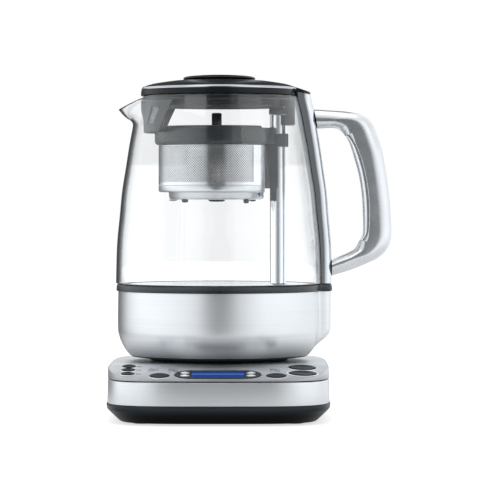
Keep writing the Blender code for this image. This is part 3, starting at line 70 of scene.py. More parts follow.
AXIS = jug_axis()
POST = (0.0454, 0.0)                             # the lift's upright axis
POST_BORE = 0.0024                               # radius of the holes that the lift's screw stands in


class Close(Enum):
    """How a surface of rings ends."""

    CAPS = "caps"
    RING = "ring"


@dataclass
class Piece:
    """One finished mesh: where it rides, what it replaces, and the name of a slot that it keeps."""

    name: str
    body: str
    slot: str
    replaces: tuple[str, ...] = ()
    sharp: float = 35.0

    def build(self, body: Body, finish: "Finish") -> None:
        """Makes a closed body's mesh and seats it."""
        self.seat(closed_mesh(self.name, body), finish)

    def cut(self, blank: Body, cutters: Sequence[Body], finish: "Finish") -> None:
        """Takes bodies out of a body and seats what is left."""
        self.seat(carve(self.name, blank, cutters), finish)

    def seat(self, mesh: bpy.types.Mesh, finish: "Finish") -> None:
        """Shades a mesh in the frame's coordinates and puts it into the scene on its body."""
        mesh.materials.clear()
        mesh.materials.append(finish.material())
        mesh.polygons.foreach_set("use_smooth", np.ones(len(mesh.polygons), dtype=bool))
        mesh.set_sharp_from_angle(angle=math.radians(self.sharp))
        piece = placed(self.name, mesh)
        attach(piece, self.body)
        if self.replaces:
            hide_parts(*self.replaces)
        LOG.info("%s: %d faces on %s", self.name, len(mesh.polygons), self.body)


def placed(name: str, data: bpy.types.ID) -> bpy.types.Object:
    """New object in the scene."""
    made = bpy.data.objects.new(name, data)
    bpy.context.scene.collection.objects.link(made)
    return made


def closed_mesh(name: str, body: Body) -> bpy.types.Mesh:
    """Mesh of a closed body, moved to the frame's place, with its faces outwards.

    Args:
        name: name of the mesh.
        body: points and faces.

    Returns:
        The mesh, with its doubles merged.
    """
    mesh = bpy.data.meshes.new(name)
    mesh.from_pydata((body[0].reshape(-1, 3) + AXIS).tolist(), [], body[1])
    work = bmesh.new()
    work.from_mesh(mesh)
    bmesh.ops.remove_doubles(work, verts=work.verts, dist=1e-7)
    bmesh.ops.recalc_face_normals(work, faces=work.faces)
    work.to_mesh(mesh)
    work.free()
    return mesh


def layers(levels: Iterable[tuple[np.ndarray, float]]) -> np.ndarray:
    """Rings of flat outlines, each at its own height."""
    return np.stack([np.column_stack([line, np.full(len(line), height)]) for line, height in levels])


def solid(rings: np.ndarray, close: Close = Close.CAPS) -> Body:
    """Closed body of quads between the rings of a grid whose columns run round.

    Args:
        rings: points of each ring, one row for each.
        close: whether the ends get caps or meet each other.

    Returns:
        The points, and the vertex numbers of each face.
    """
    rows, columns = rings.shape[:2]
    last = rows if close is Close.RING else rows - 1
    row, column = np.meshgrid(np.arange(last), np.arange(columns), indexing="ij")
    after, beside = (row + 1) % rows, (column + 1) % columns
    quads = np.stack([row * columns + column, row * columns + beside, after * columns + beside,
                      after * columns + column], axis=-1).reshape(-1, 4).tolist()
    if close is Close.CAPS:
        quads.append(list(range(columns))[::-1])
        quads.append(list(range((rows - 1) * columns, rows * columns)))
    return rings, quads


def join(bodies: Sequence[Body]) -> Body:
    """Several bodies as one: the points together, and the faces numbered on."""
    starts = np.cumsum([0] + [points.size // 3 for points, _ in bodies]).tolist()
    faces = [[number + start for number in face] for start, (_, part) in zip(starts, bodies) for face in part]
    return np.vstack([points.reshape(-1, 3) for points, _ in bodies]), faces


def smooth_line(points: Sequence[Sequence[float]], per_span: int = 8) -> np.ndarray:
    """Catmull-Rom curve through points: each span is the cubic whose ends follow its neighbours' slope.

    Args:
        points: places that the curve passes through.
        per_span: steps between two of them.

    Returns:
        Points of the curve, one row each.
    """
    knots = np.asarray(points, dtype=float)
    padded = np.vstack([2 * knots[0] - knots[1], knots, 2 * knots[-1] - knots[-2]])
    share = np.linspace(0, 1, per_span, endpoint=False)[None, :, None]
    a, b, c, d = (padded[i:len(padded) - 3 + i, None, :] for i in range(4))
    curve = 0.5 * (2 * b + (c - a) * share + (2 * a - 5 * b + 4 * c - d) * share ** 2
                   + (3 * b - a - 3 * c + d) * share ** 3)
    return np.vstack([curve.reshape(-1, knots.shape[1]), knots[-1:]])


def rounded_profile(points: Sequence[Triple], steps: int = 6) -> np.ndarray:
    """Closed section from corners, each rounded by an arc tangent to its two sides.

    Args:
        points: two coordinates of a corner and its radius, in order round the section.
        steps: points on each arc.

    Returns:
        Points of the section, one row each.
    """
    corners = np.asarray(points, dtype=float)
    result = []
    for index in range(len(corners)):
        here, radius = corners[index, :2], corners[index, 2]
        back = corners[index - 1, :2] - here
        ahead = corners[(index + 1) % len(corners), :2] - here
        if radius <= 0:
            result.append(here[None])
            continue
        back, ahead = back / np.linalg.norm(back), ahead / np.linalg.norm(ahead)
        half = math.acos(max(-1.0, min(1.0, float(back @ ahead)))) / 2
        reach = radius / math.tan(half)
        middle = here + (back + ahead) / np.linalg.norm(back + ahead) * radius / math.sin(half)
        start = np.arctan2(*(here + back * reach - middle)[::-1])
        sweep = np.arctan2(*(here + ahead * reach - middle)[::-1]) - start
        sweep = (sweep + math.pi) % TURN - math.pi
        angle = start + sweep * np.linspace(0, 1, steps)
        result.append(middle + radius * np.stack([np.cos(angle), np.sin(angle)], axis=-1))
    return np.vstack(result)


def turned(section: Sequence[Sequence[float]], steps: int = 144, centre: Pair = (0.0, 0.0)) -> Body:
    """Body of a section of radius and height pairs turned about an upright axis.

    Args:
        section: radius and height of each point; one that starts at the axis gets caps, else its ends meet.
        steps: points round the axis.
        centre: the axis, from the jug's axis.

    Returns:
        Rings, one for each point of the section, and faces.
    """
    section = np.asarray(section, dtype=float)
    angle = np.linspace(0, TURN, steps, endpoint=False)
    radius, height = section[:, :1], section[:, 1:]
    rings = np.stack([radius * np.cos(angle) + centre[0], radius * np.sin(angle) + centre[1],
                      np.broadcast_to(height, (len(section), steps))], axis=-1)
    return solid(rings, Close.CAPS if section[0, 0] < 0.0006 else Close.RING)


# Finishes ---


class Nodes:
    """Short way to add and join shader nodes in one tree."""

    def __init__(self, tree: bpy.types.NodeTree) -> None:
        """Keeps the tree that nodes are added to."""
        self.tree = tree

    @classmethod
    def emptied(cls, owner: bpy.types.ID) -> "Nodes":
        """The tree of a material or a world, with nothing in it."""
        owner.use_nodes = True
        owner.node_tree.nodes.clear()
        return cls(owner.node_tree)

    def feed(self, node: bpy.types.Node, values: dict) -> bpy.types.Node:
        """Gives each named input of a node its value, or the output socket that feeds it."""
        for key, value in values.items():
            if isinstance(value, bpy.types.NodeSocket):
                self.tree.links.new(value, node.inputs[key])
            else:
                node.inputs[key].default_value = value
        return node

    def add(self, kind: str, values: Optional[dict] = None, **settings: object) -> bpy.types.Node:
        """Adds a node.

        Args:
            kind: Blender's type name, without the ShaderNode in front.
            values: input socket to a value, or to an output socket that feeds it.
            settings: properties of the node.

        Returns:
            The node.
        """
        node = self.tree.nodes.new(f"ShaderNode{kind}")
        for key, value in settings.items():
            setattr(node, key, value)
        return self.feed(node, values or {})

    def math(self, operation: str, first: object, second: object = 0.0) -> bpy.types.NodeSocket:
        """Output of a Math node on two values or sockets."""
        return self.add("Math", {0: first, 1: second}, operation=operation).outputs[0]

    def vector(self, operation: str, values: dict) -> bpy.types.NodeSocket:
        """First output of a Vector Math node."""
        return self.add("VectorMath", values, operation=operation).outputs[0]

    def blend(self, share: object, first: object, second: object) -> bpy.types.NodeSocket:
        """Output of a colour mix of two colours by a share."""
        return self.add("Mix", {"Factor": share, 6: first, 7: second}, data_type="RGBA").outputs[2]

    def span(self, value: object, low: object, high: object, start: object = 0.0,
             end: float = 1.0) -> bpy.types.NodeSocket:
        """Output of a Map Range node."""
        return self.add("MapRange", {"Value": value, "From Min": low, "From Max": high, "To Min": start,
                                     "To Max": end}).outputs["Result"]

    def noise(self, place: object, **values: object) -> bpy.types.NodeSocket:
        """Strength of a Noise Texture at a place."""
        return self.add("TexNoise", {"Vector": place, **values}).outputs["Fac"]


def effect(name: str, inputs: dict[str, str], outputs: dict[str, str],
           fill: Callable[[Nodes, bpy.types.NodeOutputs], dict[str, bpy.types.NodeSocket]]) -> bpy.types.NodeTree:
    """Builds a shader node group once.

    Args:
        name: group's name.
        inputs: socket name to its kind.
        outputs: the same.
        fill: takes the inputs, makes the nodes and returns the socket for each output.

    Returns:
        The group.
    """
    if name in bpy.data.node_groups:
        return bpy.data.node_groups[name]
    group = bpy.data.node_groups.new(name, "ShaderNodeTree")
    for way, sockets in (("INPUT", inputs), ("OUTPUT", outputs)):
        for label, kind in sockets.items():
            group.interface.new_socket(label, in_out=way, socket_type=f"NodeSocket{kind}")
    entry, leave = group.nodes.new("NodeGroupInput"), group.nodes.new("NodeGroupOutput")
    nodes = Nodes(group)
    nodes.feed(leave, fill(nodes, entry.outputs))
    return group


def streaks() -> bpy.types.NodeTree:
    """Group for brushed metal: noise drawn out along the stroke, as a mask and a height.

    The place is scaled by the three numbers of Stroke, small along the stroke and large across it.
    """
    def fill(nodes: Nodes, given: bpy.types.NodeOutputs) -> dict[str, bpy.types.NodeSocket]:
        """Stretched noise, and a broad cloud."""
        place = nodes.vector("MULTIPLY", {0: given["Vector"], 1: given["Stroke"]})
        lines = nodes.span(nodes.noise(place, Scale=1.0, Detail=3.0, Roughness=0.7), 0.3, 0.7)
        cloud = nodes.span(nodes.noise(given["Vector"], Scale=22.0, Detail=2.0), 0.3, 0.7)
        mask = nodes.math("ADD", nodes.math("MULTIPLY", lines, 0.75), nodes.math("MULTIPLY", cloud, 0.25))
        return {"Mask": mask, "Height": lines}

    return effect("streaks", {"Vector": "Vector", "Stroke": "Vector"}, {"Mask": "Float", "Height": "Float"}, fill)


def moulding() -> bpy.types.NodeTree:
    """Group for moulded plastic and rubber: a faint cloud for colour and gloss, and a fine grain."""
    def fill(nodes: Nodes, given: bpy.types.NodeOutputs) -> dict[str, bpy.types.NodeSocket]:
        """Fine and broad noise."""
        grain = nodes.noise(given["Vector"], Scale=given["Grain"], Detail=2.0)
        cloud = nodes.span(nodes.noise(given["Vector"], Scale=35.0, Detail=3.0), 0.3, 0.7)
        return {"Mask": cloud, "Height": grain}

    return effect("moulding", {"Vector": "Vector", "Grain": "Float"}, {"Mask": "Float", "Height": "Float"}, fill)


def fading() -> bpy.types.NodeTree:
    """Group of painted shade: darkens a colour towards the lower of two heights, where the share Left stays."""
    def fill(nodes: Nodes, given: bpy.types.NodeOutputs) -> dict[str, bpy.types.NodeSocket]:
        """The colour times the share at its height."""
        height = nodes.add("SeparateXYZ", {"Vector": given["Vector"]}).outputs["Z"]
        share = nodes.span(height, given["Low"], given["High"], given["Left"])
        return {"Color": nodes.vector("SCALE", {0: given["Color"], "Scale": share})}

    return effect("fading", {"Vector": "Vector", "Color": "Color", "Low": "Float", "High": "Float",
                             "Left": "Float"}, {"Color": "Color"}, fill)


@dataclass(frozen=True)
class Finish:
    """What every finish has: a name, a colour and the gloss."""

    name: str
    colour: Triple
    roughness: float
    # Painted shade: two heights, and the share of the colour that is left at the lower one; the glass takes the
    # heights for its painted reflection.
    fade: Triple = (0.0, 0.001, 1.0)

    def material(self) -> bpy.types.Material:
        """The finish as a material, made once."""
        if self.name in bpy.data.materials:
            return bpy.data.materials[self.name]
        made = bpy.data.materials.new(self.name)
        nodes = Nodes.emptied(made)
        shader = nodes.add("BsdfPrincipled", {"Roughness": self.roughness})
        nodes.add("OutputMaterial", {"Surface": shader.outputs[0]})
        self.dress(nodes, shader)
        made.diffuse_color = (*self.colour, 1.0)
        return made

    def dress(self, nodes: Nodes, shader: bpy.types.Node) -> None:
        """Adds what makes this kind of finish."""
        raise NotImplementedError

    def place(self, nodes: Nodes) -> bpy.types.NodeSocket:
        """Place on the object."""
        return nodes.add("TexCoord").outputs["Object"]

    def tint(self, share: float) -> tuple[float, float, float, float]:
        """The colour, darkened or lightened by a factor."""
        return (*(min(1.0, part * share) for part in self.colour), 1.0)

    def vary(self, nodes: Nodes, shader: bpy.types.Node, group: bpy.types.Node, tone: float, gloss: float,
             bump: float) -> None:
        """Joins an effect to the shader.

        Args:
            nodes: the material's nodes.
            shader: its surface.
            group: effect, whose mask moves the colour and the roughness, and whose height the normal.
            tone: share that the colour moves by, each way.
            gloss: the same for the roughness.
            bump: strength of the bump.
        """
        mask = group.outputs["Mask"]
        colour = nodes.blend(mask, self.tint(1.0 - tone), self.tint(1.0 + tone))
        # Painted shade: below the fade's upper height the colour darkens towards the lower one.
        low, high, left = self.fade
        if left < 1.0:
            colour = nodes.add("Group", {"Vector": self.place(nodes), "Color": colour, "Low": low, "High": high,
                                         "Left": left}, node_tree=fading()).outputs["Color"]
        rough = nodes.span(mask, 0.0, 1.0, self.roughness * (1.0 - gloss), self.roughness * (1.0 + gloss))
        normal = nodes.add("Bump", {"Strength": bump, "Distance": 0.00005, "Height": group.outputs["Height"]})
        nodes.feed(shader, {"Base Color": colour, "Roughness": rough, "Normal": normal.outputs[0]})


@dataclass(frozen=True)
class Steel(Finish):
    """Steel brushed along a stroke, or blasted when the stroke is even."""

    stroke: Triple = (60.0, 60.0, 900.0)         # how often the streaks repeat along X, Y and Z, for each metre
    contrast: float = 0.04
    bump: float = 0.02
    stretch: float = 0.0
    slant: float = 0.25

    def dress(self, nodes: Nodes, shader: bpy.types.Node) -> None:
        """Streaks move the colour, the roughness and the normal."""
        nodes.feed(shader, {"Metallic": 1.0, "Anisotropic": self.stretch, "Anisotropic Rotation": self.slant})
        group = nodes.add("Group", {"Vector": self.place(nodes), "Stroke": self.stroke}, node_tree=streaks())
        self.vary(nodes, shader, group, self.contrast, -0.15, self.bump)


@dataclass(frozen=True)
class Moulded(Finish):
    """Moulded plastic or rubber with a fine grain."""

    grain: float = 2500.0
    bump: float = 0.06
    coat: float = 0.0
    specular: float = 0.5
    variation: float = 0.08

    def dress(self, nodes: Nodes, shader: bpy.types.Node) -> None:
        """Grain moves the normal, and the cloud the colour and the roughness."""
        nodes.feed(shader, {"Coat Weight": self.coat, "Coat Roughness": 0.05, "Specular IOR Level": self.specular})
        group = nodes.add("Group", {"Vector": self.place(nodes), "Grain": self.grain}, node_tree=moulding())
        self.vary(nodes, shader, group, self.variation, 0.1, self.bump)


@dataclass(frozen=True)
class ClearGlass(Finish):
    """Clear glass whose colour is darkened towards its outline by painted shade, in place of the darker edge of a
    thick wall.
    """

    # Painted shade colours of the outline: the veil, then the edge.
    veil: Triple = (0.55, 0.58, 0.6)
    edge: Triple = (0.17, 0.2, 0.225)
    sharpness: float = 6.0
    outline: Pair = (0.775, 0.815)
    # Grey of the painted reflection.
    upper: Triple = (0.885, 0.893, 0.898)
    middle: Triple = (0.0045, 0.046, 0.05)      # centre, and the half widths that the grey of the painted reflection starts past

    def dress(self, nodes: Nodes, shader: bpy.types.Node) -> None:
        """Painted shade: facing share to a power blends the clear colour into the veil, and its last part into the
        edge.

        Painted reflection: above the fade's heights, and off the middle, the clear colour is greyer, as where a wall
        mirrors a panel.
        """
        facing = nodes.add("LayerWeight", {"Blend": 0.5}).outputs["Facing"]
        place = nodes.add("SeparateXYZ", {"Vector": self.place(nodes)})
        off = nodes.math("ABSOLUTE", nodes.math("SUBTRACT", place.outputs["X"], AXIS[0] + self.middle[0]))
        panel = nodes.math("MULTIPLY", nodes.span(place.outputs["Z"], *self.fade[:2]),
                           nodes.span(off, *self.middle[1:]))
        clear = nodes.blend(panel, (*self.colour, 1.0), (*self.upper, 1.0))
        colour = nodes.blend(nodes.math("POWER", facing, self.sharpness), clear, (*self.veil, 1.0))
        colour = nodes.blend(nodes.span(facing, *self.outline), colour, (*self.edge, 1.0))
        smear = nodes.noise(self.place(nodes), Scale=60.0, Detail=2.0)
        gloss = nodes.span(smear, 0.4, 0.7, self.roughness, self.roughness + 0.02)
        nodes.feed(shader, {"Transmission Weight": 1.0, "IOR": 1.47, "Base Color": colour, "Roughness": gloss})


@dataclass(frozen=True)
class LitDisplay(Finish):
    """Backlit liquid crystal: lit colour, a painted highlight line near the far edge, and a faint grid of cells."""

    glow: float = 0.35
    # Colour of the painted highlight line.
    line: Triple = (0.1, 0.17, 0.38)
    mirrored: Triple = (0.16, 0.17, 0.18)
    low: float = -0.1
    high: float = -0.08

    def dress(self, nodes: Nodes, shader: bpy.types.Node) -> None:
        """The painted highlight line lies at a share of the way along Y; other surfaces mirror the display as plain
        grey.
        """
        place = self.place(nodes)
        rise = nodes.span(nodes.add("SeparateXYZ", {"Vector": place}).outputs["Y"], self.low, self.high)
        cells = nodes.add("TexChecker", {"Vector": place, "Scale": 1500.0}).outputs["Fac"]
        off = nodes.math("MULTIPLY", nodes.math("ABSOLUTE", nodes.math("SUBTRACT", rise, 0.8)), 9.0)
        painted_highlight = nodes.math("MAXIMUM", nodes.math("SUBTRACT", 1.0, off), 0.0)
        shade = nodes.math("ADD", painted_highlight, nodes.math("MULTIPLY", cells, 0.05))
        colour = nodes.blend(shade, self.tint(1.0), (*self.line, 1.0))
        colour = nodes.blend(nodes.add("LightPath").outputs["Is Glossy Ray"], colour, (*self.mirrored, 1.0))
        nodes.feed(shader, {"Base Color": colour, "Emission Color": colour, "Emission Strength": self.glow,
                            "Specular IOR Level": 0.0})


LONG_STROKE = (6.0, 6.0, 2600.0)
EVEN_STROKE = (60.0, 60.0, 60.0)


@dataclass(frozen=True)
class Finishes:
    """Every finish on the tea maker."""

    # Painted shade: the foot's steel darkens from 61 mm down to 0.36 of its colour at 48.5 mm.
    shell_steel: Steel = Steel("shell steel", (0.8, 0.825, 0.85), 0.36, (0.0485, 0.061, 0.36), LONG_STROKE,
                                0.05, 0.05, 0.7)
    band_steel: Steel = Steel("band steel", (0.76, 0.785, 0.81), 0.36, stroke=LONG_STROKE, contrast=0.05,
                              bump=0.05, stretch=0.7)
    # Painted shade: the steel top darkens towards the front of its slope, to half its colour at 32.5 mm.
    panel_steel: Steel = Steel("panel steel", (0.7, 0.725, 0.75), 0.4, (0.0325, 0.0395, 0.5),
                               (6.0, 2200.0, 2200.0), 0.05, 0.05, 0.7)
    satin_steel: Steel = Steel("satin steel", (0.66, 0.685, 0.71), 0.26, stroke=(700.0, 5.0, 5.0),
                               contrast=0.05, bump=0.05, stretch=0.2)
    polished: Steel = Steel("polished steel", (0.72, 0.75, 0.78), 0.18, stroke=EVEN_STROKE, contrast=0.03, bump=0.01)
    loop_steel: Steel = Steel("loop steel", (0.74, 0.765, 0.79), 0.28, stroke=EVEN_STROKE, contrast=0.03, bump=0.01)
    bright_steel: Steel = Steel("bright steel", (0.8, 0.82, 0.84), 0.12, bump=0.03, stretch=0.1)
    floor_steel: Steel = Steel("pressed steel", (0.72, 0.74, 0.76), 0.22, stroke=(60.0, 60.0, 2400.0),
                               contrast=0.05, bump=0.03, stretch=0.3)
    strainer_steel: Steel = Steel("strainer steel", (0.86, 0.88, 0.9), 0.15, contrast=0.06, bump=0.03)
    # Painted shade: a darker copy of the strainer's steel, for its inner face and hole walls.
    shade_steel: Steel = Steel("shaded steel", (0.16, 0.175, 0.19), 0.34, contrast=0.06, bump=0.03)
    ring_steel: Steel = Steel("ring steel", (0.52, 0.54, 0.565), 0.18)
    key_steel: Steel = Steel("button steel", (0.78, 0.8, 0.82), 0.42)
    post_steel: Steel = Steel("post steel", (0.92, 0.94, 0.96), 0.13, stroke=(900.0, 900.0, 6.0))
    brass: Steel = Steel("brass", (0.7, 0.52, 0.22), 0.3, contrast=0.1, bump=0.1, stretch=0.5)
    # The glass's fade heights place its painted reflection.
    glass: ClearGlass = ClearGlass("jug glass", (0.985, 0.993, 0.997), 0.0, (0.1932, 0.1944, 1.0))
    display: LitDisplay = LitDisplay("lit display", (0.014, 0.042, 0.2), 0.3)
    lamp: LitDisplay = LitDisplay("lit ring", (0.78, 0.81, 0.83), 0.3, glow=0.15, line=(0.78, 0.81, 0.83))
    slate: Moulded = Moulded("slate plastic", (0.028, 0.038, 0.046), 0.13, specular=0.7)
    # Painted shade: the seal falls nearly to black towards its bottom edge.
    seal: Moulded = Moulded("seal plastic", (0.036, 0.047, 0.055), 0.28, (0.0967, 0.1, 0.08))
    bezel: Moulded = Moulded("bezel plastic", (0.03, 0.038, 0.044), 0.3, specular=0.08)
    keys: Moulded = Moulded("button plastic", (0.012, 0.016, 0.02), 0.22, bump=0.02, specular=0.05)
    black: Moulded = Moulded("black plastic", (0.014, 0.016, 0.018), 0.24, coat=0.3)
    gloss_black: Moulded = Moulded("gloss black plastic", (0.01, 0.012, 0.014), 0.16, bump=0.02)
    dome: Moulded = Moulded("lid plastic", (0.007, 0.01, 0.013), 0.24, bump=0.02, specular=0.22)
    # Painted shade: the pan darkens towards its bottom, so its upper edge reads lighter.
    pan: Moulded = Moulded("pan plastic", (0.03, 0.04, 0.048), 0.3, (0.0075, 0.013, 0.05), bump=0.03,
                           specular=0.1)
    rubber: Moulded = Moulded("rubber", (0.02, 0.021, 0.023), 0.75, grain=1500.0, bump=0.2)
    white: Moulded = Moulded("white plastic", (0.7, 0.7, 0.68), 0.45)
    board: Moulded = Moulded("circuit board", (0.02, 0.12, 0.05), 0.45, variation=0.3)
    # Painted light: a pale colour on the slate collar's inside face, as if lit.
    painted_lit_plastic: Moulded = Moulded("pale plastic", (0.86, 0.88, 0.89), 0.4, specular=0.3)
    frame: Moulded = Moulded("grey plastic", (0.115, 0.13, 0.142), 0.38, specular=0.4)
    matt: Moulded = Moulded("matt plastic", (0.04, 0.05, 0.058), 0.4, specular=0.3)
    knob: Moulded = Moulded("knob plastic", (0.002, 0.003, 0.004), 0.2, bump=0.02, specular=0.18)
    net: Moulded = Moulded("bright net", (0.8, 0.83, 0.85), 0.35)
    dot: Moulded = Moulded("red mark", (0.6, 0.06, 0.04), 0.4)


FINISH = Finishes()


# Studio ---


@dataclass
class Studio:
    """Floor, backdrop light, lamps and the camera at the photograph's place."""

    eye: Triple = (0.0238, -2.2, 0.163)
    view_width: float = 0.3875
    shift: float = -0.09
    floor_half: float = 6.0
    # Share of a full turn from behind the jug, through +X, then the level that is seen there.
    surround: tuple[Pair, ...] = (
        (0.0, 0.95), (0.01, 0.95), (0.015, 0.32), (0.026, 0.32), (0.048, 1.04), (0.131, 1.06),
        (0.195, 1.2), (0.245, 1.32), (0.287, 1.34), (0.325, 1.26), (0.361, 1.08), (0.395, 0.86),
        (0.428, 0.68), (0.447, 0.62), (0.456, 0.17),
        (0.544, 0.17), (0.553, 0.66), (0.587, 0.92), (0.62, 1.06), (0.65, 1.2), (0.692, 1.32),
        (0.777, 1.42), (0.825, 1.36), (0.858, 1.0), (0.89, 0.4), (0.925, 0.12), (0.984, 0.1),
        (0.99, 0.95), (1.0, 0.95))
    # Share of the way up from level to overhead, then the factor on the level.
    ceiling: tuple[Pair, ...] = ((0.0, 1.0), (0.22, 1.0), (0.4, 0.72), (1.0, 0.8))
    aloft: Triple = (0.1, 0.24, 1.1)       # rise from and to, and level, behind the jug
    overhead: Triple = (0.54, 0.72, 0.95)    # the same, all round
    near: Pair = (0.22, 0.5)         # past this distance metal sees the floor as the surround
    floor_heart: float = -0.36                       # place in front of the jug that the floor's grade turns about
    # Card that the lid's dome shows: distance behind, half width, lower and upper edge, level, dark half width.
    card: tuple[float, float, float, float, float, float] = (0.4, 0.16, 0.31, 0.8, 0.1, 0.035)

    def build(self) -> None:
        """Makes the whole studio."""
        bpy.context.scene.view_settings.view_transform = "Standard"
        self.camera()
        self.world()
        self.floor()
        self.hung_card()
        self.lamp("key", (-1.1, -1.5, 1.7), 1.3, 5.0)
        self.lamp("fill", (1.3, -1.2, 1.2), 1.2, 2.5)
        self.lamp("top", (0.0, 0.1, 1.9), 1.2, 4.0)

    def camera(self) -> None:
        """Level camera: the field's width at the jug's axis sets the lens, and a shift frames it."""
        data = bpy.data.cameras.new("camera")
        data.sensor_width = 36.0
        data.lens = data.sensor_width * -self.eye[1] / self.view_width
        data.shift_y = self.shift
        data.clip_end = 50.0
        holder = placed("camera", data)
        holder.location = Vector(self.eye) + Vector(AXIS)
        holder.rotation_euler = (math.pi / 2, 0, 0)
        bpy.context.scene.camera = holder

    @staticmethod
    def straight(nodes: Nodes) -> bpy.types.NodeSocket:
        """One for a view that comes straight from the camera or only through glass, else zero."""
        path = nodes.add("LightPath")
        clear = nodes.math("MAXIMUM", path.outputs["Is Camera Ray"], path.outputs["Is Transmission Ray"])
        bounced = nodes.math("ADD", path.outputs["Glossy Depth"], path.outputs["Diffuse Depth"])
        return nodes.math("MULTIPLY", clear, nodes.math("LESS_THAN", bounced, 0.5))

    def graded(self) -> bpy.types.NodeTree:
        """Group for the studio round the object: a level for each direction from the jug's axis.

        The level runs with the direction's turn about Z, and changes with its rise.
        """
        def ramp(nodes: Nodes, share: bpy.types.NodeSocket, table: Sequence[Pair],
                 tint: Triple = (1.0, 1.0, 1.0)) -> bpy.types.NodeSocket:
            """Colour from a table of shares and levels, tinted."""
            node = nodes.add("ValToRGB", {"Fac": share})
            stops = node.color_ramp.elements
            while len(stops) < len(table):
                stops.new(0.5)
            for stop, (place, _) in zip(stops, table):
                stop.position = place
            for stop, (_, level) in zip(stops, table):
                stop.color = (*(level * part for part in tint), 1.0)
            return node.outputs["Color"]

        def fill(nodes: Nodes, given: bpy.types.NodeOutputs) -> dict[str, bpy.types.NodeSocket]:
            """Turn and rise of the direction, each through its table."""
            way = nodes.add("SeparateXYZ", {"Vector": nodes.vector("NORMALIZE", {0: given["Vector"]})}).outputs
            turn = nodes.math("ARCTAN2", way["X"], way["Y"])
            share = nodes.math("FRACT", nodes.span(turn, -math.pi, math.pi, 0.5, 1.5))
            seen = nodes.vector("MULTIPLY", {0: ramp(nodes, share, self.surround, (0.965, 0.985, 1.0)),
                                             1: ramp(nodes, way["Z"], self.ceiling)})
            behind, above = (nodes.span(way["Z"], low, high, 0.0, level)
                             for low, high, level in (self.aloft, self.overhead))
            behind = nodes.math("MULTIPLY", behind, nodes.span(way["Y"], 0.0, 0.3))
            return {"Color": nodes.vector("MAXIMUM", {0: seen, 1: nodes.math("MAXIMUM", behind, above)})}

        return effect("studio surround", {"Vector": "Vector"}, {"Color": "Color"}, fill)

    def world(self) -> None:
        """White for the camera and through glass, and the graded studio for light and reflections."""
        world = bpy.data.worlds.new("studio")
        bpy.context.scene.world = world
        nodes = Nodes.emptied(world)
        graded = nodes.add("Group", {"Vector": nodes.add("TexCoord").outputs["Generated"]},
                           node_tree=self.graded())
        colour = nodes.blend(self.straight(nodes), graded.outputs["Color"], (1.0, 1.0, 1.0, 1.0))
        background = nodes.add("Background", {"Color": colour, "Strength": 1.0})
        nodes.add("OutputWorld", {"Surface": background.outputs[0]})

    def floor(self) -> None:
        """Pale floor, white for the camera and glass, that keeps the shadow.

        Metal sees its far part as the graded studio, so that reflections run on below the horizon.
        """
        size = self.floor_half
        mesh = bpy.data.meshes.new("floor")
        mesh.from_pydata([(-size, -size, 0), (size, -size, 0), (size, size, 0), (-size, size, 0)], [],
                         [(0, 1, 2, 3)])
        made = bpy.data.materials.new("floor")
        nodes = Nodes.emptied(made)
        mirrored = nodes.math("GREATER_THAN", nodes.add("LightPath").outputs["Glossy Depth"], 0.5)
        seen = nodes.math("MAXIMUM", self.straight(nodes), nodes.math("MULTIPLY", mirrored, 0.3))
        place = nodes.add("TexCoord").outputs["Object"]
        pale = nodes.span(nodes.noise(place, Scale=8.0), 0.3, 0.7, 0.6, 0.61)
        matt = nodes.add("BsdfDiffuse", {"Color": pale})
        glow = nodes.add("Emission", {"Color": (1.0, 1.0, 1.0, 1.0), "Strength": nodes.math("MULTIPLY", seen, 0.65)})
        both = nodes.add("AddShader", {0: matt.outputs[0], 1: glow.outputs[0]})
        heart = (AXIS[0], AXIS[1] + self.floor_heart, 0.0)
        graded = nodes.add("Group", {"Vector": nodes.vector("SUBTRACT", {0: place, 1: heart})},
                           node_tree=self.graded())
        distance = nodes.add("VectorMath", {0: place}, operation="LENGTH").outputs["Value"]
        far = nodes.math("MULTIPLY", nodes.span(distance, *self.near), mirrored)
        studio = nodes.add("Emission", {"Color": graded.outputs["Color"]})
        mixed = nodes.add("MixShader", {0: far, 1: both.outputs[0], 2: studio.outputs[0]})
        nodes.add("OutputMaterial", {"Surface": mixed.outputs[0]})
        mesh.materials.append(made)
        floor = placed("floor", mesh)

    def hung_card(self) -> None:
        """Grey card with a dark middle, hung behind the jug, that only reflections show."""
        away, half, low, high, level, dark = self.card
        edges = np.array([-half, -dark - 0.004, -dark + 0.004, dark - 0.004, dark + 0.004, half])
        points = layers((np.column_stack([edges, np.full(6, away)]), height) for height in (low, high))
        mesh = bpy.data.meshes.new("hung_card")
        mesh.from_pydata((points.reshape(-1, 3) + AXIS).tolist(), [],
                         [(index, index + 1, index + 7, index + 6) for index in (0, 2, 4)])
        for name, shade in (("card grey", level), ("card dark", 0.03)):
            made = bpy.data.materials.new(name)
            nodes = Nodes.emptied(made)
            glow = nodes.add("Emission", {"Color": (shade * 0.9, shade * 0.97, shade, 1.0)})
            nodes.add("OutputMaterial", {"Surface": glow.outputs[0]})
            mesh.materials.append(made)
        mesh.polygons.foreach_set("material_index", np.array([0, 1, 0], dtype=np.int32))
        card = placed("hung_card", mesh)
        card.visible_camera = card.visible_diffuse = card.visible_transmission = card.visible_shadow = False

    def lamp(self, name: str, place: Triple, size: float, power: float) -> None:
        """Square soft lamp aimed at the middle of the jug."""
        data = bpy.data.lights.new(name, "AREA")
        data.size = size
        data.energy = power
        lamp = placed(name, data)
        lamp.location = place
        lamp.rotation_euler = (Vector((0.0, 0.0, 0.12)) - Vector(place)).to_track_quat("-Z", "Y").to_euler()


# Power base ---


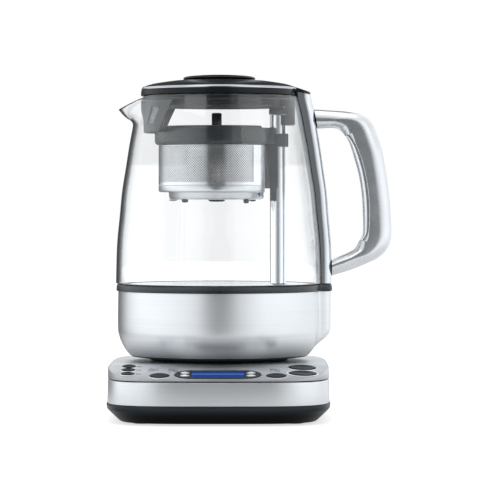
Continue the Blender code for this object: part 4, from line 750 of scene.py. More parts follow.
def carve(name: str, blank: Body, cutters: Sequence[Body]) -> bpy.types.Mesh:
    """Takes closed bodies out of a closed body, exactly.

    Args:
        name: name of the mesh.
        blank: the body.
        cutters: bodies that are taken out.

    Returns:
        The finished mesh, moved to the frame's place.
    """
    host, *tools = (placed(f"{name}_{index}", closed_mesh(name, body))
                    for index, body in enumerate([blank, *cutters]))
    for tool in tools:
        boolean = host.modifiers.new(tool.name, "BOOLEAN")
        boolean.solver = "EXACT"
        boolean.operation = "DIFFERENCE"
        boolean.object = tool
    graph = bpy.context.evaluated_depsgraph_get()
    mesh = bpy.data.meshes.new_from_object(host.evaluated_get(graph), depsgraph=graph)
    for made in (host, *tools):
        data = made.data
        bpy.data.objects.remove(made)
        bpy.data.meshes.remove(data)
    mesh.name = name
    return mesh


def taken_apart(mesh: bpy.types.Mesh) -> Body:
    """Body of a mesh, which is then removed."""
    points = np.empty(len(mesh.vertices) * 3)
    mesh.vertices.foreach_get("co", points)
    faces = [list(face.vertices) for face in mesh.polygons]
    bpy.data.meshes.remove(mesh)
    return points.reshape(-1, 3) - AXIS, faces


def upright(outline: np.ndarray, *heights: float) -> Body:
    """Closed body with one flat outline between two heights."""
    return solid(layers((outline, height) for height in heights))


def oval(half_width: float, half_depth: float, steps: int = 64, turn: float = 0.0,
         centre: Pair = (0.0, 0.0)) -> np.ndarray:
    """Ellipse turned about its centre: half width along its first axis and half depth along its second."""
    angle = np.linspace(0, TURN, steps, endpoint=False)
    x, y = half_width * np.cos(angle), half_depth * np.sin(angle)
    return np.stack([centre[0] + x * math.cos(turn) - y * math.sin(turn),
                     centre[1] + x * math.sin(turn) + y * math.cos(turn)], axis=-1)


def round_box(half_width: float, half_depth: float, corner: float, steps: int = 12,
              centre: Pair = (0.0, 0.0)) -> np.ndarray:
    """Rectangle whose corners are quarter circles."""
    return rounded_profile([(centre[0] + x * half_width, centre[1] + y * half_depth, corner)
                            for x, y in ((-1, -1), (1, -1), (1, 1), (-1, 1))], steps)


@dataclass
class PowerBase:
    """Housing of the power base: pan, feet, steel band, steel top with its slope, and the socket."""

    half_width: float = 0.0848
    front: float = 0.115
    back: float = 0.09
    shoulder: float = 0.02
    squareness: float = 4.5
    pan: Pair = (0.0014, 0.0145)
    pan_inset: float = 0.0102
    band: Pair = (0.0148, 0.0323)
    top: Pair = (0.0331, 0.0428)
    top_round: float = 0.003
    panel_break: float = 0.063
    tilt: float = math.radians(10)
    steps: int = 256

    def outline(self, inset: float) -> np.ndarray:
        """Outline of the base: a superellipse whose front and back halves have their own depth."""
        angle = np.linspace(0, TURN, self.steps, endpoint=False)
        across, along = np.cos(angle), np.sin(angle)
        reach = np.where(along < 0, self.front - self.shoulder, self.back + self.shoulder) - inset
        power = 2 / self.squareness
        return np.stack([np.sign(across) * np.abs(across) ** power * (self.half_width - inset),
                         np.sign(along) * np.abs(along) ** power * reach - self.shoulder], axis=-1)

    def walls(self, section: Sequence[Pair]) -> np.ndarray:
        """Rings of the base's outline for a section of inset and height pairs."""
        return layers((self.outline(inset), height) for inset, height in section)

    def build(self) -> None:
        """Makes every piece of the housing."""
        self.housing()
        self.steel_top()
        self.feet()
        self.socket()
        self.outlet()

    def housing(self) -> None:
        """Pan with a curved underside, and the band with fine edges."""
        low, high = self.pan
        turn = smooth_line([(self.pan_inset, low), (self.pan_inset - 0.0013, low + 0.0006), (0.0014, low + 0.008),
                            (0.0003, low + 0.0097), (0.0, high - 0.001)], 6)
        inside = [(0.0003, high - 0.0002), (0.0007, high), (0.002, high), (0.003, low + 0.0095),
                  (self.pan_inset + 0.002, low + 0.003)]
        Piece("pan_shell", "power_base", "black_plastic", ("base_pan",)).build(
            solid(self.walls(np.vstack([turn, inside]))), FINISH.pan)
        low, high = self.band
        section = rounded_profile([(0.0006, low, 0.0004), (0.0011, high, 0.0005), (0.0023, high, 0.0003),
                                   (0.0018, low, 0.0003)], 5)
        Piece("steel_band", "power_base", "brushed_steel", ("base_band",)).build(
            solid(self.walls(section), Close.RING), FINISH.band_steel)

    def slope(self, points: np.ndarray) -> np.ndarray:
        """Points given down the slope, from its top line, as places: turned about X by the tilt."""
        across, down, rise = np.moveaxis(points, -1, 0)
        return np.stack([across, down * math.cos(self.tilt) - rise * math.sin(self.tilt) - self.panel_break,
                         down * math.sin(self.tilt) + rise * math.cos(self.tilt) + self.top[1]], axis=-1)

    def sloping(self, levels: Iterable[tuple[np.ndarray, float]], close: Close = Close.CAPS) -> Body:
        """Body square to the slope, from outlines down the slope and their heights over it."""
        return solid(self.slope(layers(levels)), close)

    def cutter(self, outline: np.ndarray) -> Body:
        """Body that cuts an outline through the panel."""
        return self.sloping(((outline, -0.006), (outline, 0.004)))

    def blank(self, inset: float, low: float, high: float) -> Body:
        """Body with the base's outline and a round upper edge."""
        bend = np.linspace(0, math.pi / 2, 13)
        section = np.column_stack([inset + self.top_round * (1 - np.cos(bend)),
                                   high - self.top_round * (1 - np.sin(bend))])
        return solid(self.walls([(inset, low), *section]))

    def wedge(self, sink: float) -> Body:
        """Body over the slope that cuts it, sunk below the panel's face."""
        reach = self.half_width + 0.005
        corners = np.array([(-reach, -0.075), (reach, -0.075), (reach, 0.02), (-reach, 0.02)])
        return self.sloping(((corners, -sink), (corners, 0.03)))

    def steel_top(self) -> None:
        """Steel top: blank less the slope, the hollow and the openings."""
        wall, low, high = 0.002, *self.top
        hollow = taken_apart(carve("hollow", self.blank(0.0031, low - 0.003, high - wall), [self.wedge(wall)]))
        Piece("steel_top", "power_base", "brushed_steel", ("base_top_panel",), sharp=9.0).cut(
            self.blank(0.0011, low, high),
            [self.wedge(0.0), hollow, upright(oval(0.0208, 0.0208), high - 0.006, high + 0.004),
             *map(self.cutter, ButtonPanel().openings())], FINISH.panel_steel)

    def feet(self) -> None:
        """Four rubber feet with soft edges, each round about its own axis."""
        section = rounded_profile([(0.0, 0.0, 0), (0.008, 0.0, 0.0006), (0.008, 0.002, 0.0004),
                                   (0.0025, 0.002, 0), (0.0025, 0.006, 0.0004), (0.0, 0.006, 0)], 4)
        for end, along in (("front", -0.078), ("back", 0.058)):
            for side, across in (("left", -0.056), ("right", 0.056)):
                Piece(f"rubber_foot_{end}_{side}", "power_base", "black_rubber", (f"foot_{end}_{side}",)).build(
                    turned(section, 48, (across, along)), FINISH.rubber)

    def socket(self) -> None:
        """Round cordless connector with its contact rings, and the collar that turns with the jug."""
        base = self.top[1]
        top = base + 0.011
        face = [(radius, top - depth, 0) for radius, depth in (
            (0.0022, 0.0), (0.0022, 0.003), (0.0036, 0.003), (0.0036, 0.0), (0.006, 0.0), (0.006, 0.0024),
            (0.0074, 0.0024), (0.0074, 0.0))]
        section = rounded_profile([(0.0, top - 0.006, 0), (0.001, top - 0.006, 0), (0.001, top, 0.0002), *face,
                                   (0.012, top, 0.0008), (0.012, base, 0.0006), (0.0205, base, 0.0003),
                                   (0.0205, base - 0.007, 0), (0.0, base - 0.007, 0)], 5)
        Piece("connector_boss", "power_base", "black_plastic", ("power_connector",)).build(
            turned(section, 96), FINISH.black)
        for name, low, high in (("inner", 0.00235, 0.00345), ("outer", 0.00615, 0.00725)):
            ring = rounded_profile([(low, top - 0.0028, 0), (high, top - 0.0028, 0), (high, top - 0.0012, 0.0003),
                                    (low, top - 0.0012, 0.0003)], 4)
            Piece(f"contact_ring_{name}", "power_base", "brass").build(turned(ring, 72), FINISH.brass)
        collar = rounded_profile([(0.0124, 0.0431, 0.0003), (0.0174, 0.0431, 0.0003), (0.0174, 0.0467, 0.0008),
                                  (0.0124, 0.0467, 0.0008)], 5)
        Piece("swivel_ring", "swivel_collar", "white_plastic", ("connector_collar",)).build(
            turned(collar, 96), FINISH.white)

    def outlet(self) -> None:
        """Rubber gland at the back: a ribbed section turned about a level axis."""
        section = rounded_profile([(0.0025, 0.002, 0.0004), (0.006, 0.002, 0.0008), (0.0072, 0.0, 0.0003),
                                   (0.005, 0.0, 0), (0.005, -0.014, 0), (0.0025, -0.014, 0)], 5)
        grid, faces = turned(section, 48)
        place = (-0.03, self.back + 0.0003, sum(self.band) / 2)
        Piece("cord_outlet", "power_base", "black_rubber", ("cord_gland",)).build(
            (grid[..., [0, 2, 1]] + place, faces), FINISH.rubber)


class Cap(Enum):
    """Shape of a button's top."""

    DISHED = "dished"
    DOMED = "domed"


@dataclass(frozen=True)
class Button:
    """A push button: its place on the slope, its half sizes, its turn and its top."""

    name: str
    across: float
    down: float
    half_width: float
    half_depth: float
    turn: float = 0.0
    cap: Cap = Cap.DISHED
    proud: float = 0.0008

    def outline(self, extra: float, steps: int = 64) -> np.ndarray:
        """Outline of the button in the slope's plane, grown by a distance."""
        return oval(self.half_width + extra, self.half_depth + extra, steps, self.turn, (self.across, -self.down))


@dataclass
class ButtonPanel:
    """Display, buttons and printed ticks, all square to the slope."""

    base: PowerBase = field(default_factory=PowerBase)
    display_down: float = 0.033
    display_half: Pair = (0.0322, 0.0125)
    window_half: Pair = (0.02, 0.0098)
    wall: float = 0.002
    clearance: float = 0.0003
    key_gap: float = 0.0007

    def large(self) -> list[Button]:
        """Buttons that pass through the steel."""
        trio = [Button(f"button_left_{name}", -0.067, down, 0.0046, 0.0046)
                for name, down in (("back", 0.0068), ("middle", 0.018), ("front", 0.0305))]
        rounds = [Button(f"button_round_{side}", across, 0.037, 0.007, 0.007)
                  for side, across in (("left", -0.0433), ("right", 0.0433))]
        ovals = [Button(f"button_oval_{name}", 0.063, down, 0.01, 0.0076, math.radians(-18))
                 for name, down in (("front", 0.0292), ("back", 0.0105))]
        return trio + rounds + ovals

    def small(self) -> list[Button]:
        """Buttons that pass through the display's bezel."""
        return [Button(f"button_{end}_{side}", across, self.display_down + spread, 0.0036, 0.0024,
                       cap=Cap.DOMED, proud=0.0014)
                for side, across in (("left", -0.0245), ("right", 0.0245))
                for end, spread in (("up", -0.0043), ("down", 0.0043))]

    def openings(self) -> list[np.ndarray]:
        """Outlines of the holes in the steel, on the slope."""
        width, depth = (half + self.clearance for half in self.display_half)
        display = round_box(width, depth, depth - 1e-5, 24, (0.0, -self.display_down))
        return [display] + [button.outline(self.key_gap) for button in self.large()]

    def build(self) -> None:
        """Makes the display, every button and the marks."""
        self.display()
        for button in self.large():
            self.key(button, FINISH.keys)
        for button in self.small():
            self.key(button, FINISH.key_steel)
        self.lit_ring()
        self.edges()
        self.marks()

    def key(self, button: Button, finish: Finish) -> None:
        """Button from rings: an oval of each radius, at the section's height.

        The top's height falls or rises with the square of the distance from the middle. Past the
        button's edge the flange keeps its width, and the stem is round.
        """
        radius, proud, domed = button.half_depth, button.proud, button.cap is Cap.DOMED
        share, edge, rise = np.linspace(0.04, 1, 9), 0.0005, 0.0006
        proud, dip = (proud - rise, rise) if domed else (proud, -0.0007)
        cap = np.column_stack([share * (radius - edge), proud + dip * (1 - share ** 2)])
        bend = np.linspace(0, math.pi / 2, 5)[1:]
        rim = np.column_stack([radius - edge + edge * np.sin(bend), proud - edge + edge * np.cos(bend)])
        under, flange, stem = -self.wall - 0.0003, radius + 0.001, 0.0012
        below = [(radius, under), (flange, under), (flange, under - 0.0008)]
        wide = button.half_width / radius
        levels = [(size * wide if size <= radius else size + button.half_width - radius, size, height)
                  for size, height in np.vstack([cap, rim, below])]
        levels += [(stem, stem, under - 0.0008), (stem, stem, -0.0044)]
        Piece(button.name.replace("button", "key"), button.name, "satin_steel" if domed else "slate_plastic",
              (button.name,)).build(self.base.sloping(
                  (oval(across, down, 64, button.turn, (button.across, -button.down)), height)
                  for across, down, height in levels), finish)

    def ring(self, button: Button, *lines: Pair) -> Body:
        """Ring on the steel round a button, from outlines grown by a distance, each at a height."""
        return self.base.sloping(((button.outline(extra), height) for extra, height in lines), Close.RING)

    def display(self) -> None:
        """Bezel with its window and holes, and the lit window with a soft edge."""
        proud, centre = 0.0006, (0.0, -self.display_down)
        width, depth = self.display_half
        blank = self.base.sloping((round_box(width - inset, depth - inset, depth - inset - 1e-5, 24, centre), height)
                                  for inset, height in ((0.0, -self.wall), (0.0, proud - 0.0003),
                                                        (0.0001, proud - 0.0001), (0.0003, proud)))
        holes = [round_box(*self.window_half, 0.0003, 4, centre)]
        holes += [button.outline(self.clearance, 40) for button in self.small()]
        Piece("display_frame", "power_base", "slate_plastic", ("display_bezel",), sharp=20.0).cut(
            blank, [self.base.cutter(hole) for hole in holes], FINISH.bezel)
        width, depth = (half - self.clearance for half in self.window_half)
        Piece("display_glass", "power_base", "display_glass", ("display_lens",)).build(self.base.sloping(
            (round_box(width - inset, depth - inset, 0.0004, 5, centre), height)
            for inset, height in ((0, -self.wall), (0, 0.0003), (0.0002, 0.0005), (0.0003, 0.0005))), FINISH.display)

    def lit_ring(self) -> None:
        """Pale ring set round the front oval button."""
        button = next(item for item in self.large() if item.name == "button_oval_front")
        low, high, near, far = 0.00002, 0.0004, 0.0013, 0.0021
        Piece("oval_light_ring", "power_base", "white_plastic").build(
            self.ring(button, (near, low), (near, high), (far, high), (far, low)), FINISH.lamp)

    def edges(self) -> None:
        """Bright bevelled lip of the steel round each large button: a ring that falls outwards."""
        for button in self.large():
            body = self.ring(button, (0.00072, -0.0008), (0.00072, 0.0003), (0.0014, 0.00004), (0.0014, -0.0008))
            Piece(button.name.replace("button", "lip"), "power_base", "brushed_steel").build(body, FINISH.key_steel)

    def marks(self) -> None:
        """Plain ticks and dots, as thin bars on the steel."""
        ticks = []
        for left, top, count in ((-0.05, 0.015, 3), (-0.035, 0.015, 4), (0.041, 0.015, 4)):
            for index in range(count):
                ticks.append((left + 0.0036 * (index % 2), top + 0.0026 * index, 0.0024 - 0.0006 * (index % 2)))
        ticks += [(button.across + 0.0075, button.down, 0.0022) for button in self.large()[:3]]
        corners = np.array([(-1, -1), (1, -1), (1, 1), (-1, 1)])
        bars = [corners * (long, 0.0006) + (across, -down) for across, down, long in ticks]
        Piece("panel_ticks", "power_base", "slate_plastic").build(
            join([self.base.sloping(((bar, 0.00001), (bar, 0.00006))) for bar in bars]), FINISH.keys)
        for name, across in (("left", -0.05), ("right", 0.0385)):
            disc = oval(0.0006, 0.0006, 20, centre=(across, -0.012))
            Piece(f"panel_dot_{name}", "power_base", "white_plastic").build(
                self.base.sloping(((disc, 0.00001), (disc, 0.00012))), FINISH.dot)


# Jug ---


@dataclass
class Jug:
    """Steel foot, seal, floor, glass with its spout, and the underside."""

    shell: Pair = (0.0474, 0.0965)
    shell_radius: float = 0.0784
    shell_shares: tuple[Triple, ...] = (      # height, radius, bulge
        (1.0, 0.997, 1.0), (0.72, 1.0, 1.0), (0.42, 1.0, 1.0), (0.3, 0.988, 0.72),
        (0.18, 0.96, 0.15), (0.08, 0.924, 0.0), (0.0, 0.885, 0.0))
    bulge_reach: float = 0.0865
    bulge_half_width: float = 0.015
    bulge_draft: float = 0.15
    bulge_ease: float = 0.008
    joint_ease: float = 0.0015
    seal: Pair = (0.0968, 0.1024)
    seal_reach: Triple = (0.0716, 0.0796, 0.0877)     # inside, outside, and outside at the handle
    glass: Pair = (0.1027, 0.2469)
    glass_radius: float = 0.08
    glass_wall: float = 0.0025
    glass_shares: tuple[tuple[float, float, float, float], ...] = (     # height, radius, reach, drop
        (1.0, 0.775, 1.0, 1.0), (0.962, 0.79, 0.72, 0.85), (0.927, 0.806, 0.45, 0.62),
        (0.879, 0.824, 0.12, 0.2), (0.835, 0.838, 0.0, 0.0), (0.74, 0.87, 0.0, 0.0),
        (0.62, 0.904, 0.0, 0.0), (0.49, 0.941, 0.0, 0.0), (0.362, 0.963, 0.0, 0.0),
        (0.233, 0.986, 0.0, 0.0), (0.11, 0.996, 0.0, 0.0), (0.0, 1.0, 0.0, 0.0))
    spout_reach: float = 0.0162
    spout_drop: float = 0.0099
    spout_half_angle: float = math.radians(32)
    wall: float = 0.0012

    def build(self) -> None:
        """Makes every piece of the jug but its handle, post and lid."""
        self.foot()
        self.glass_body()
        self.floor()
        self.underside()

    @staticmethod
    def turns() -> np.ndarray:
        """Turns round the jug, closer together where the handle's foot stands out of the shell."""
        near = np.linspace(math.radians(8.5), math.radians(13.5), 26)
        front = np.linspace(-math.radians(8.5), math.radians(8.5), 11)[1:-1]
        far = np.linspace(math.radians(13.5), TURN - math.radians(13.5), 190)[1:-1]
        return np.concatenate([front, near, far, TURN - near[::-1]])

    def foot_ring(self, radius: float, reach: float, fade: float) -> np.ndarray:
        """Outline of the foot: the larger of a circle and a box at the handle, with both joints eased.

        The box's distance along a turn is the smaller of its reach over the cosine and its half width
        over the sine, with a draft that draws its sides in outwards. Each choice is eased: half the sum,
        plus or less half the root of the squared difference and the ease squared.
        """
        angle = self.turns()
        along, across = np.cos(angle), np.abs(np.sin(angle)) + 1e-9
        ahead = along > 0.2
        half = self.bulge_half_width + reach - self.bulge_reach
        face = reach / np.maximum(along, 0.2)
        side = (half + self.bulge_draft * (radius + reach) / 2) / (across + self.bulge_draft * along)
        box = 0.5 * (face + side - np.sqrt((face - side) ** 2 + self.bulge_ease ** 2))
        bulged = 0.5 * (radius + box + np.sqrt((radius - box) ** 2 + self.joint_ease ** 2))
        ease = np.clip((along - 0.9) / 0.05, 0, 1)
        length = radius + (np.where(ahead, bulged, radius) - radius) * fade * ease
        return np.column_stack([length * along, length * np.sin(angle)])

    def foot(self) -> None:
        """Brushed steel foot with a rolled bottom edge, and the seal between it and the glass."""
        low, high = self.shell
        wall, reach = self.wall, self.bulge_reach
        table = [(low + (high - low) * rise, self.shell_radius * share, min(1.0, max(0.0, fade)))
                 for rise, share, fade in smooth_line(self.shell_shares, 7)]
        levels = [(self.foot_ring(radius, reach, fade), height) for height, radius, fade in table]
        levels += [(self.foot_ring(radius - wall, reach - wall, fade), height)
                   for height, radius, fade in table[::-1]]
        Piece("steel_foot", "jug", "brushed_steel", ("jug_shell",)).build(
            solid(layers(levels), Close.RING), FINISH.shell_steel)
        low, high = self.seal
        edge = [(-0.0003, low), (0.0, low + 0.0003), (0.0, low + 0.0022), (-0.0002, high - 0.0016),
                (-0.0006, high - 0.0007), (-0.0011, high - 0.0002), (-0.0018, high)]
        inside, radius, reach = self.seal_reach
        levels = [(self.foot_ring(radius + inset, reach + inset, 1.0), height) for inset, height in edge]
        levels += [(self.foot_ring(inside, inside, 0.0), height) for height in (high, low)]
        Piece("glass_seal", "jug", "slate_plastic", ("jug_seal",)).build(
            solid(layers(levels), Close.RING), FINISH.seal)

    def glass_table(self) -> np.ndarray:
        """Smooth rows of height, radius, spout reach and spout drop, from the rim down."""
        low, high = self.glass
        table = smooth_line(self.glass_shares, 8)
        table[:, 2:] = np.clip(table[:, 2:], 0, 1.05)
        return np.column_stack([low + (high - low) * table[:, 0], self.glass_radius * table[:, 1],
                                self.spout_reach * table[:, 2], self.spout_drop * table[:, 3]])

    def glass_rings(self, rows: np.ndarray, inset: np.ndarray, steps: int = 240) -> np.ndarray:
        """Rings of the glass: a circle plus a lobe at the spout.

        The lobe is the squared cosine of the turn off the spout's middle, over its half angle, and is 0
        past it. It pushes a ring out by the reach and down by the drop.
        """
        angle = np.linspace(0, TURN, steps, endpoint=False)
        off = np.abs(angle - math.pi) / self.spout_half_angle
        lobe = np.where(off < 1, np.cos(np.minimum(off, 1) * math.pi / 2) ** 2, 0.0)
        radius = rows[:, 1:2] - inset[:, None] + rows[:, 2:3] * lobe
        return np.stack([radius * np.cos(angle), radius * np.sin(angle), rows[:, 0:1] - rows[:, 3:4] * lobe],
                        axis=-1)

    def glass_body(self) -> None:
        """Glass wall: outer rings, a round lip, and inner rings a wall's thickness in."""
        rows = self.glass_table()
        bend, half = np.linspace(0, math.pi, 9)[1:-1], self.glass_wall / 2
        lip = np.repeat(rows[:1], len(bend), axis=0)
        lip[:, 0] += half * 0.5 * np.sin(bend) - half * 0.5
        rows[0, 0] -= half * 0.5
        insets = np.concatenate([np.zeros(len(rows)), half * (1 - np.cos(bend)),
                                 np.full(len(rows), self.glass_wall)])
        Piece("glass_wall", "jug", "clear_glass", ("jug_glass",)).build(
            solid(self.glass_rings(np.vstack([rows[::-1], lip, rows]), insets), Close.RING), FINISH.glass)

    def floor(self) -> None:
        """Steel floor of the jug: a shallow dish whose edge rises to the seal."""
        low, high, rim = 0.0974, 0.0998, 0.1021
        section = [(0.0, low), (0.0713, low), (0.0713, rim - 0.0004), (0.0709, rim), (0.069, rim),
                   (0.0684, rim - 0.0002), (0.0646, high + 0.0002), (0.064, high), (0.0, high)]
        Piece("jug_floor", "jug", "satin_steel", ("heater_plate",)).cut(
            turned(section, 192), [upright(oval(POST_BORE, POST_BORE, 32, centre=POST), 0.09, 0.11)],
            FINISH.bright_steel)

    def underside(self) -> None:
        """Black bottom cover and the socket that takes the base's connector."""
        section = rounded_profile([(0.06, 0.0471, 0), (0.0686, 0.0471, 0.0004), (0.0676, 0.0463, 0.0004),
                                   (0.056, 0.0455, 0.001), (0.0524, 0.0431, 0.0008), (0.049, 0.0431, 0.0003),
                                   (0.0484, 0.0437, 0.0003), (0.046, 0.0437, 0.0003), (0.0454, 0.0431, 0.0003),
                                   (0.0178, 0.0431, 0.0004), (0.0178, 0.0451, 0), (0.053, 0.0451, 0)], 4)
        Piece("foot_cover", "jug", "black_plastic", ("jug_base_cover",)).build(turned(section, 192), FINISH.pan)


@dataclass
class Handle:
    """Strap up the glass with its cap, and the loop with the bright strip on the fingers' side."""

    jug: Jug = field(default_factory=Jug)
    strap: Pair = (0.1027, 0.248)
    half_width: float = 0.015
    thickness: Pair = (0.0068, 0.0088)
    corner: float = 0.006
    gap: float = 0.0003
    top_slope: float = 0.2
    cap_edge: float = 0.0019
    cap_slope: float = 0.33
    lid_radius: float = 0.0607
    rim: Pair = (0.062, 0.2469)      # outer radius and height of the glass's rim
    loop_low: float = 0.108
    loop_rise: float = 0.129
    loop_reach: float = 0.1331
    loop_half_width: float = 0.014
    crown: float = 0.0012
    loop_corners: Triple = (0.007, 0.0006, 0.009)  # inside an arm, inside the grip, outside
    grip_rows: tuple[float, ...] = (2.0, 4.0, 9.0, 11.0)     # rows of the table where the inside corner changes
    lining: float = 0.004
    lining_inset: float = 0.0025
    lining_corners: Pair = (0.0034, 0.0003)
    lining_span: tuple[int, int] = (3, 10)           # rows of the table below that it runs between
    lining_shares: tuple[float, ...] = (0.35, 0.75, 1.0, 1.0, 1.0, 1.0, 0.75, 0.35)
    per_row: int = 8
    # Share of the way from the strap to the loop's reach, and of its rise: outer line, inner line.
    loop_shares: tuple[tuple[float, float, float, float], ...] = (
        (0.0, 1.0, 0.0, 0.886), (0.44, 0.985, 0.2, 0.89), (0.64, 0.96, 0.3, 0.878),
        (0.745, 0.915, 0.375, 0.84), (0.81, 0.84, 0.43, 0.78), (0.872, 0.75, 0.47, 0.705),
        (0.917, 0.64, 0.515, 0.615), (0.96, 0.51, 0.545, 0.49), (0.99, 0.39, 0.551, 0.385),
        (1.0, 0.25, 0.543, 0.265), (0.957, 0.18, 0.489, 0.216), (0.845, 0.128, 0.405, 0.168),
        (0.68, 0.09, 0.302, 0.144), (0.34, 0.038, 0.15, 0.12), (0.0, 0.0, 0.0, 0.096))

    def glass_at(self, height: np.ndarray) -> np.ndarray:
        """Radius of the glass at each height, away from the spout."""
        rows = self.jug.glass_table()[::-1]
        return np.interp(height, rows[:, 0], rows[:, 1])

    def face_at(self, height: np.ndarray) -> np.ndarray:
        """Distance from the jug's axis to the strap's outer face at each height."""
        low, high = self.strap
        share = (height - low) / (high - low)
        return self.glass_at(height) + self.thickness[0] + (self.thickness[1] - self.thickness[0]) * share

    def build(self) -> None:
        """Makes the strap, its cap, the loop and its strip."""
        self.strap_body()
        self.cap()
        self.loop()

    def strap_body(self) -> None:
        """Strap: each section follows the glass on its inside, and is flat with round corners outside.

        The topmost section is slanted, so that the strap climbs towards the lid.
        """
        heights = np.linspace(*self.strap, 60)
        glass, face = self.glass_at(heights) + self.gap, self.face_at(heights)
        spread = np.arcsin(self.half_width / glass)[:, None] * np.linspace(1, -1, 13)
        flat = [np.stack([glass[:, None] * np.cos(spread), glass[:, None] * np.sin(spread)], axis=-1)]
        bend = np.linspace(0, math.pi / 2, 12)
        for front, turn in ((-1, bend[::-1]), (1, bend)):
            along = face[:, None] - self.corner * (1 - np.cos(turn))
            across = front * (self.half_width - self.corner * (1 - np.sin(turn)))
            flat.append(np.stack([along, np.broadcast_to(across, along.shape)], axis=-1))
        rings = layers(zip(np.concatenate(flat, axis=1), heights))
        rings[-1, :, 2] += (face[-1] - rings[-1, :, 0]) * self.top_slope
        Piece("glass_strap", "jug", "satin_steel", ("handle_strap",)).build(solid(rings), FINISH.polished)

    def cap(self) -> None:
        """Black wedge that closes the strap on the lid's edge: side views from one side to the other.

        Each side view starts on the lid's edge and reaches to the strap's face, at its own distance
        across; the last ones are drawn in, which rounds the ends.
        """
        face = float(self.face_at(np.array([self.strap[1]]))[0])
        straight, corner = self.half_width - self.corner, self.corner - self.gap
        bend = np.linspace(0, math.pi / 2, 9)
        ends = np.column_stack([straight + corner * np.sin(bend), face - self.corner + corner * np.cos(bend)])
        middle = np.column_stack([np.linspace(-straight, straight, 15)[1:-1], np.full(13, face - self.gap)])
        stations = np.vstack([ends[::-1] * (-1, 1), middle, ends])
        size = np.clip(1.06 - 0.1 * (np.abs(stations[:, 0]) / (straight + corner)) ** 12, 0.0, 1.0)
        base, top = self.strap[1] + self.gap, self.strap[1] + self.cap_edge
        radius, low = self.rim[0], self.rim[1] + self.gap
        rings = []
        for (across, end), shrink in zip(stations, size):
            lip = math.sqrt((self.lid_radius + self.gap) ** 2 - across ** 2)
            rim = math.sqrt(radius ** 2 - across ** 2)
            side = rounded_profile([
                (lip, low, 0.0002), (rim, low, 0.0), (rim, base + (face - rim) * self.top_slope, 0.0),
                (end, base + (face - end) * self.top_slope, 0.0005),
                (end, top + (face - end) * self.cap_slope, 0.0012),
                (lip, top + (face - lip) * self.cap_slope, 0.0003)])
            centre = side.mean(axis=0)
            side = centre + (side - centre) * shrink
            rings.append(np.column_stack([side[:, 0], np.full(len(side), across), side[:, 1]]))
        Piece("strap_top", "jug", "black_plastic", ("strap_cap",)).build(solid(np.stack(rings)), FINISH.gloss_black)

    def lines(self) -> tuple[np.ndarray, np.ndarray]:
        """Outer and inner line of the loop in the upright plane through the handle."""
        table = smooth_line(self.loop_shares, self.per_row)
        result = []
        for across, rise in ((table[:, 0], table[:, 1]), (table[:, 2], table[:, 3])):
            height = self.loop_low + self.loop_rise * rise
            start = self.face_at(height) + self.gap
            result.append(np.stack([start + (self.loop_reach - start) * across, height], axis=-1))
        return result[0], result[1]

    @staticmethod
    def section(inner: np.ndarray, outer: np.ndarray, half_width: float,
                corners: tuple[float | np.ndarray, float], crown: float) -> np.ndarray:
        """Rings between two lines: a box with its own round corners on each line, and a crown outside.

        The crown is one less the squared share of the way across, times its height.
        """
        way = outer - inner
        long = np.linalg.norm(way, axis=1, keepdims=True)
        way, middle = way / long, (inner + outer) / 2
        box = round_box(1.0, 1.0, 0.5, 13)
        size = np.where(box[:, 0] > 0, corners[1], corners[0]) * np.minimum(1.0, (long - 0.0002) / sum(corners))
        pull = np.sign(box) * (1 - np.abs(box)) * 2
        along = np.sign(box[:, 0]) * (long / 2) - pull[:, 0] * size
        across = np.sign(box[:, 1]) * half_width - pull[:, 1] * size
        along = along + np.where(box[:, 0] > 0, crown, 0.0) * ((1 - (across / half_width) ** 2) - 1)
        return np.stack([middle[:, :1] + way[:, :1] * along, across, middle[:, 1:] + way[:, 1:] * along], axis=-1)

    def loop(self) -> None:
        """Polished loop with a recess along the grip, and the strip that lies in it."""
        outer, inner = self.lines()
        way = outer - inner
        way /= np.linalg.norm(way, axis=1, keepdims=True)
        first, last = (row * self.per_row for row in self.lining_span)
        rows = np.arange(first, last + 1)
        share = np.interp(rows / self.per_row - self.lining_span[0], np.arange(len(self.lining_shares)),
                          self.lining_shares)
        split = inner[rows] + way[rows] * self.lining * share[:, None]
        arm, grip, outside = self.loop_corners
        inside = np.interp(np.arange(len(inner)) / self.per_row, self.grip_rows, (arm, grip, grip, arm))[:, None]
        whole = self.section(inner, outer, self.loop_half_width, (inside, outside), self.crown)
        recess = self.section(split + way[rows] * self.gap, outer[rows], self.loop_half_width,
                              (inside[rows], outside), self.crown)
        Piece("grip_loop", "jug", "satin_steel", ("handle_loop",)).build(
            solid(np.concatenate([whole[:first + 1], recess, whole[last:]])), FINISH.loop_steel)
        rings = self.section(inner[rows], split, self.loop_half_width - self.lining_inset, self.lining_corners, 0.0)
        for end, beside in ((0, 1), (-1, -2)):
            step = inner[rows[beside]] - inner[rows[end]]
            step *= self.gap / np.linalg.norm(step)
            rings[end] += (step[0], 0.0, step[1])
        Piece("grip_lining", "jug", "satin_steel", ("handle_lining",)).build(solid(rings), FINISH.bright_steel)


# Lift and basket ---


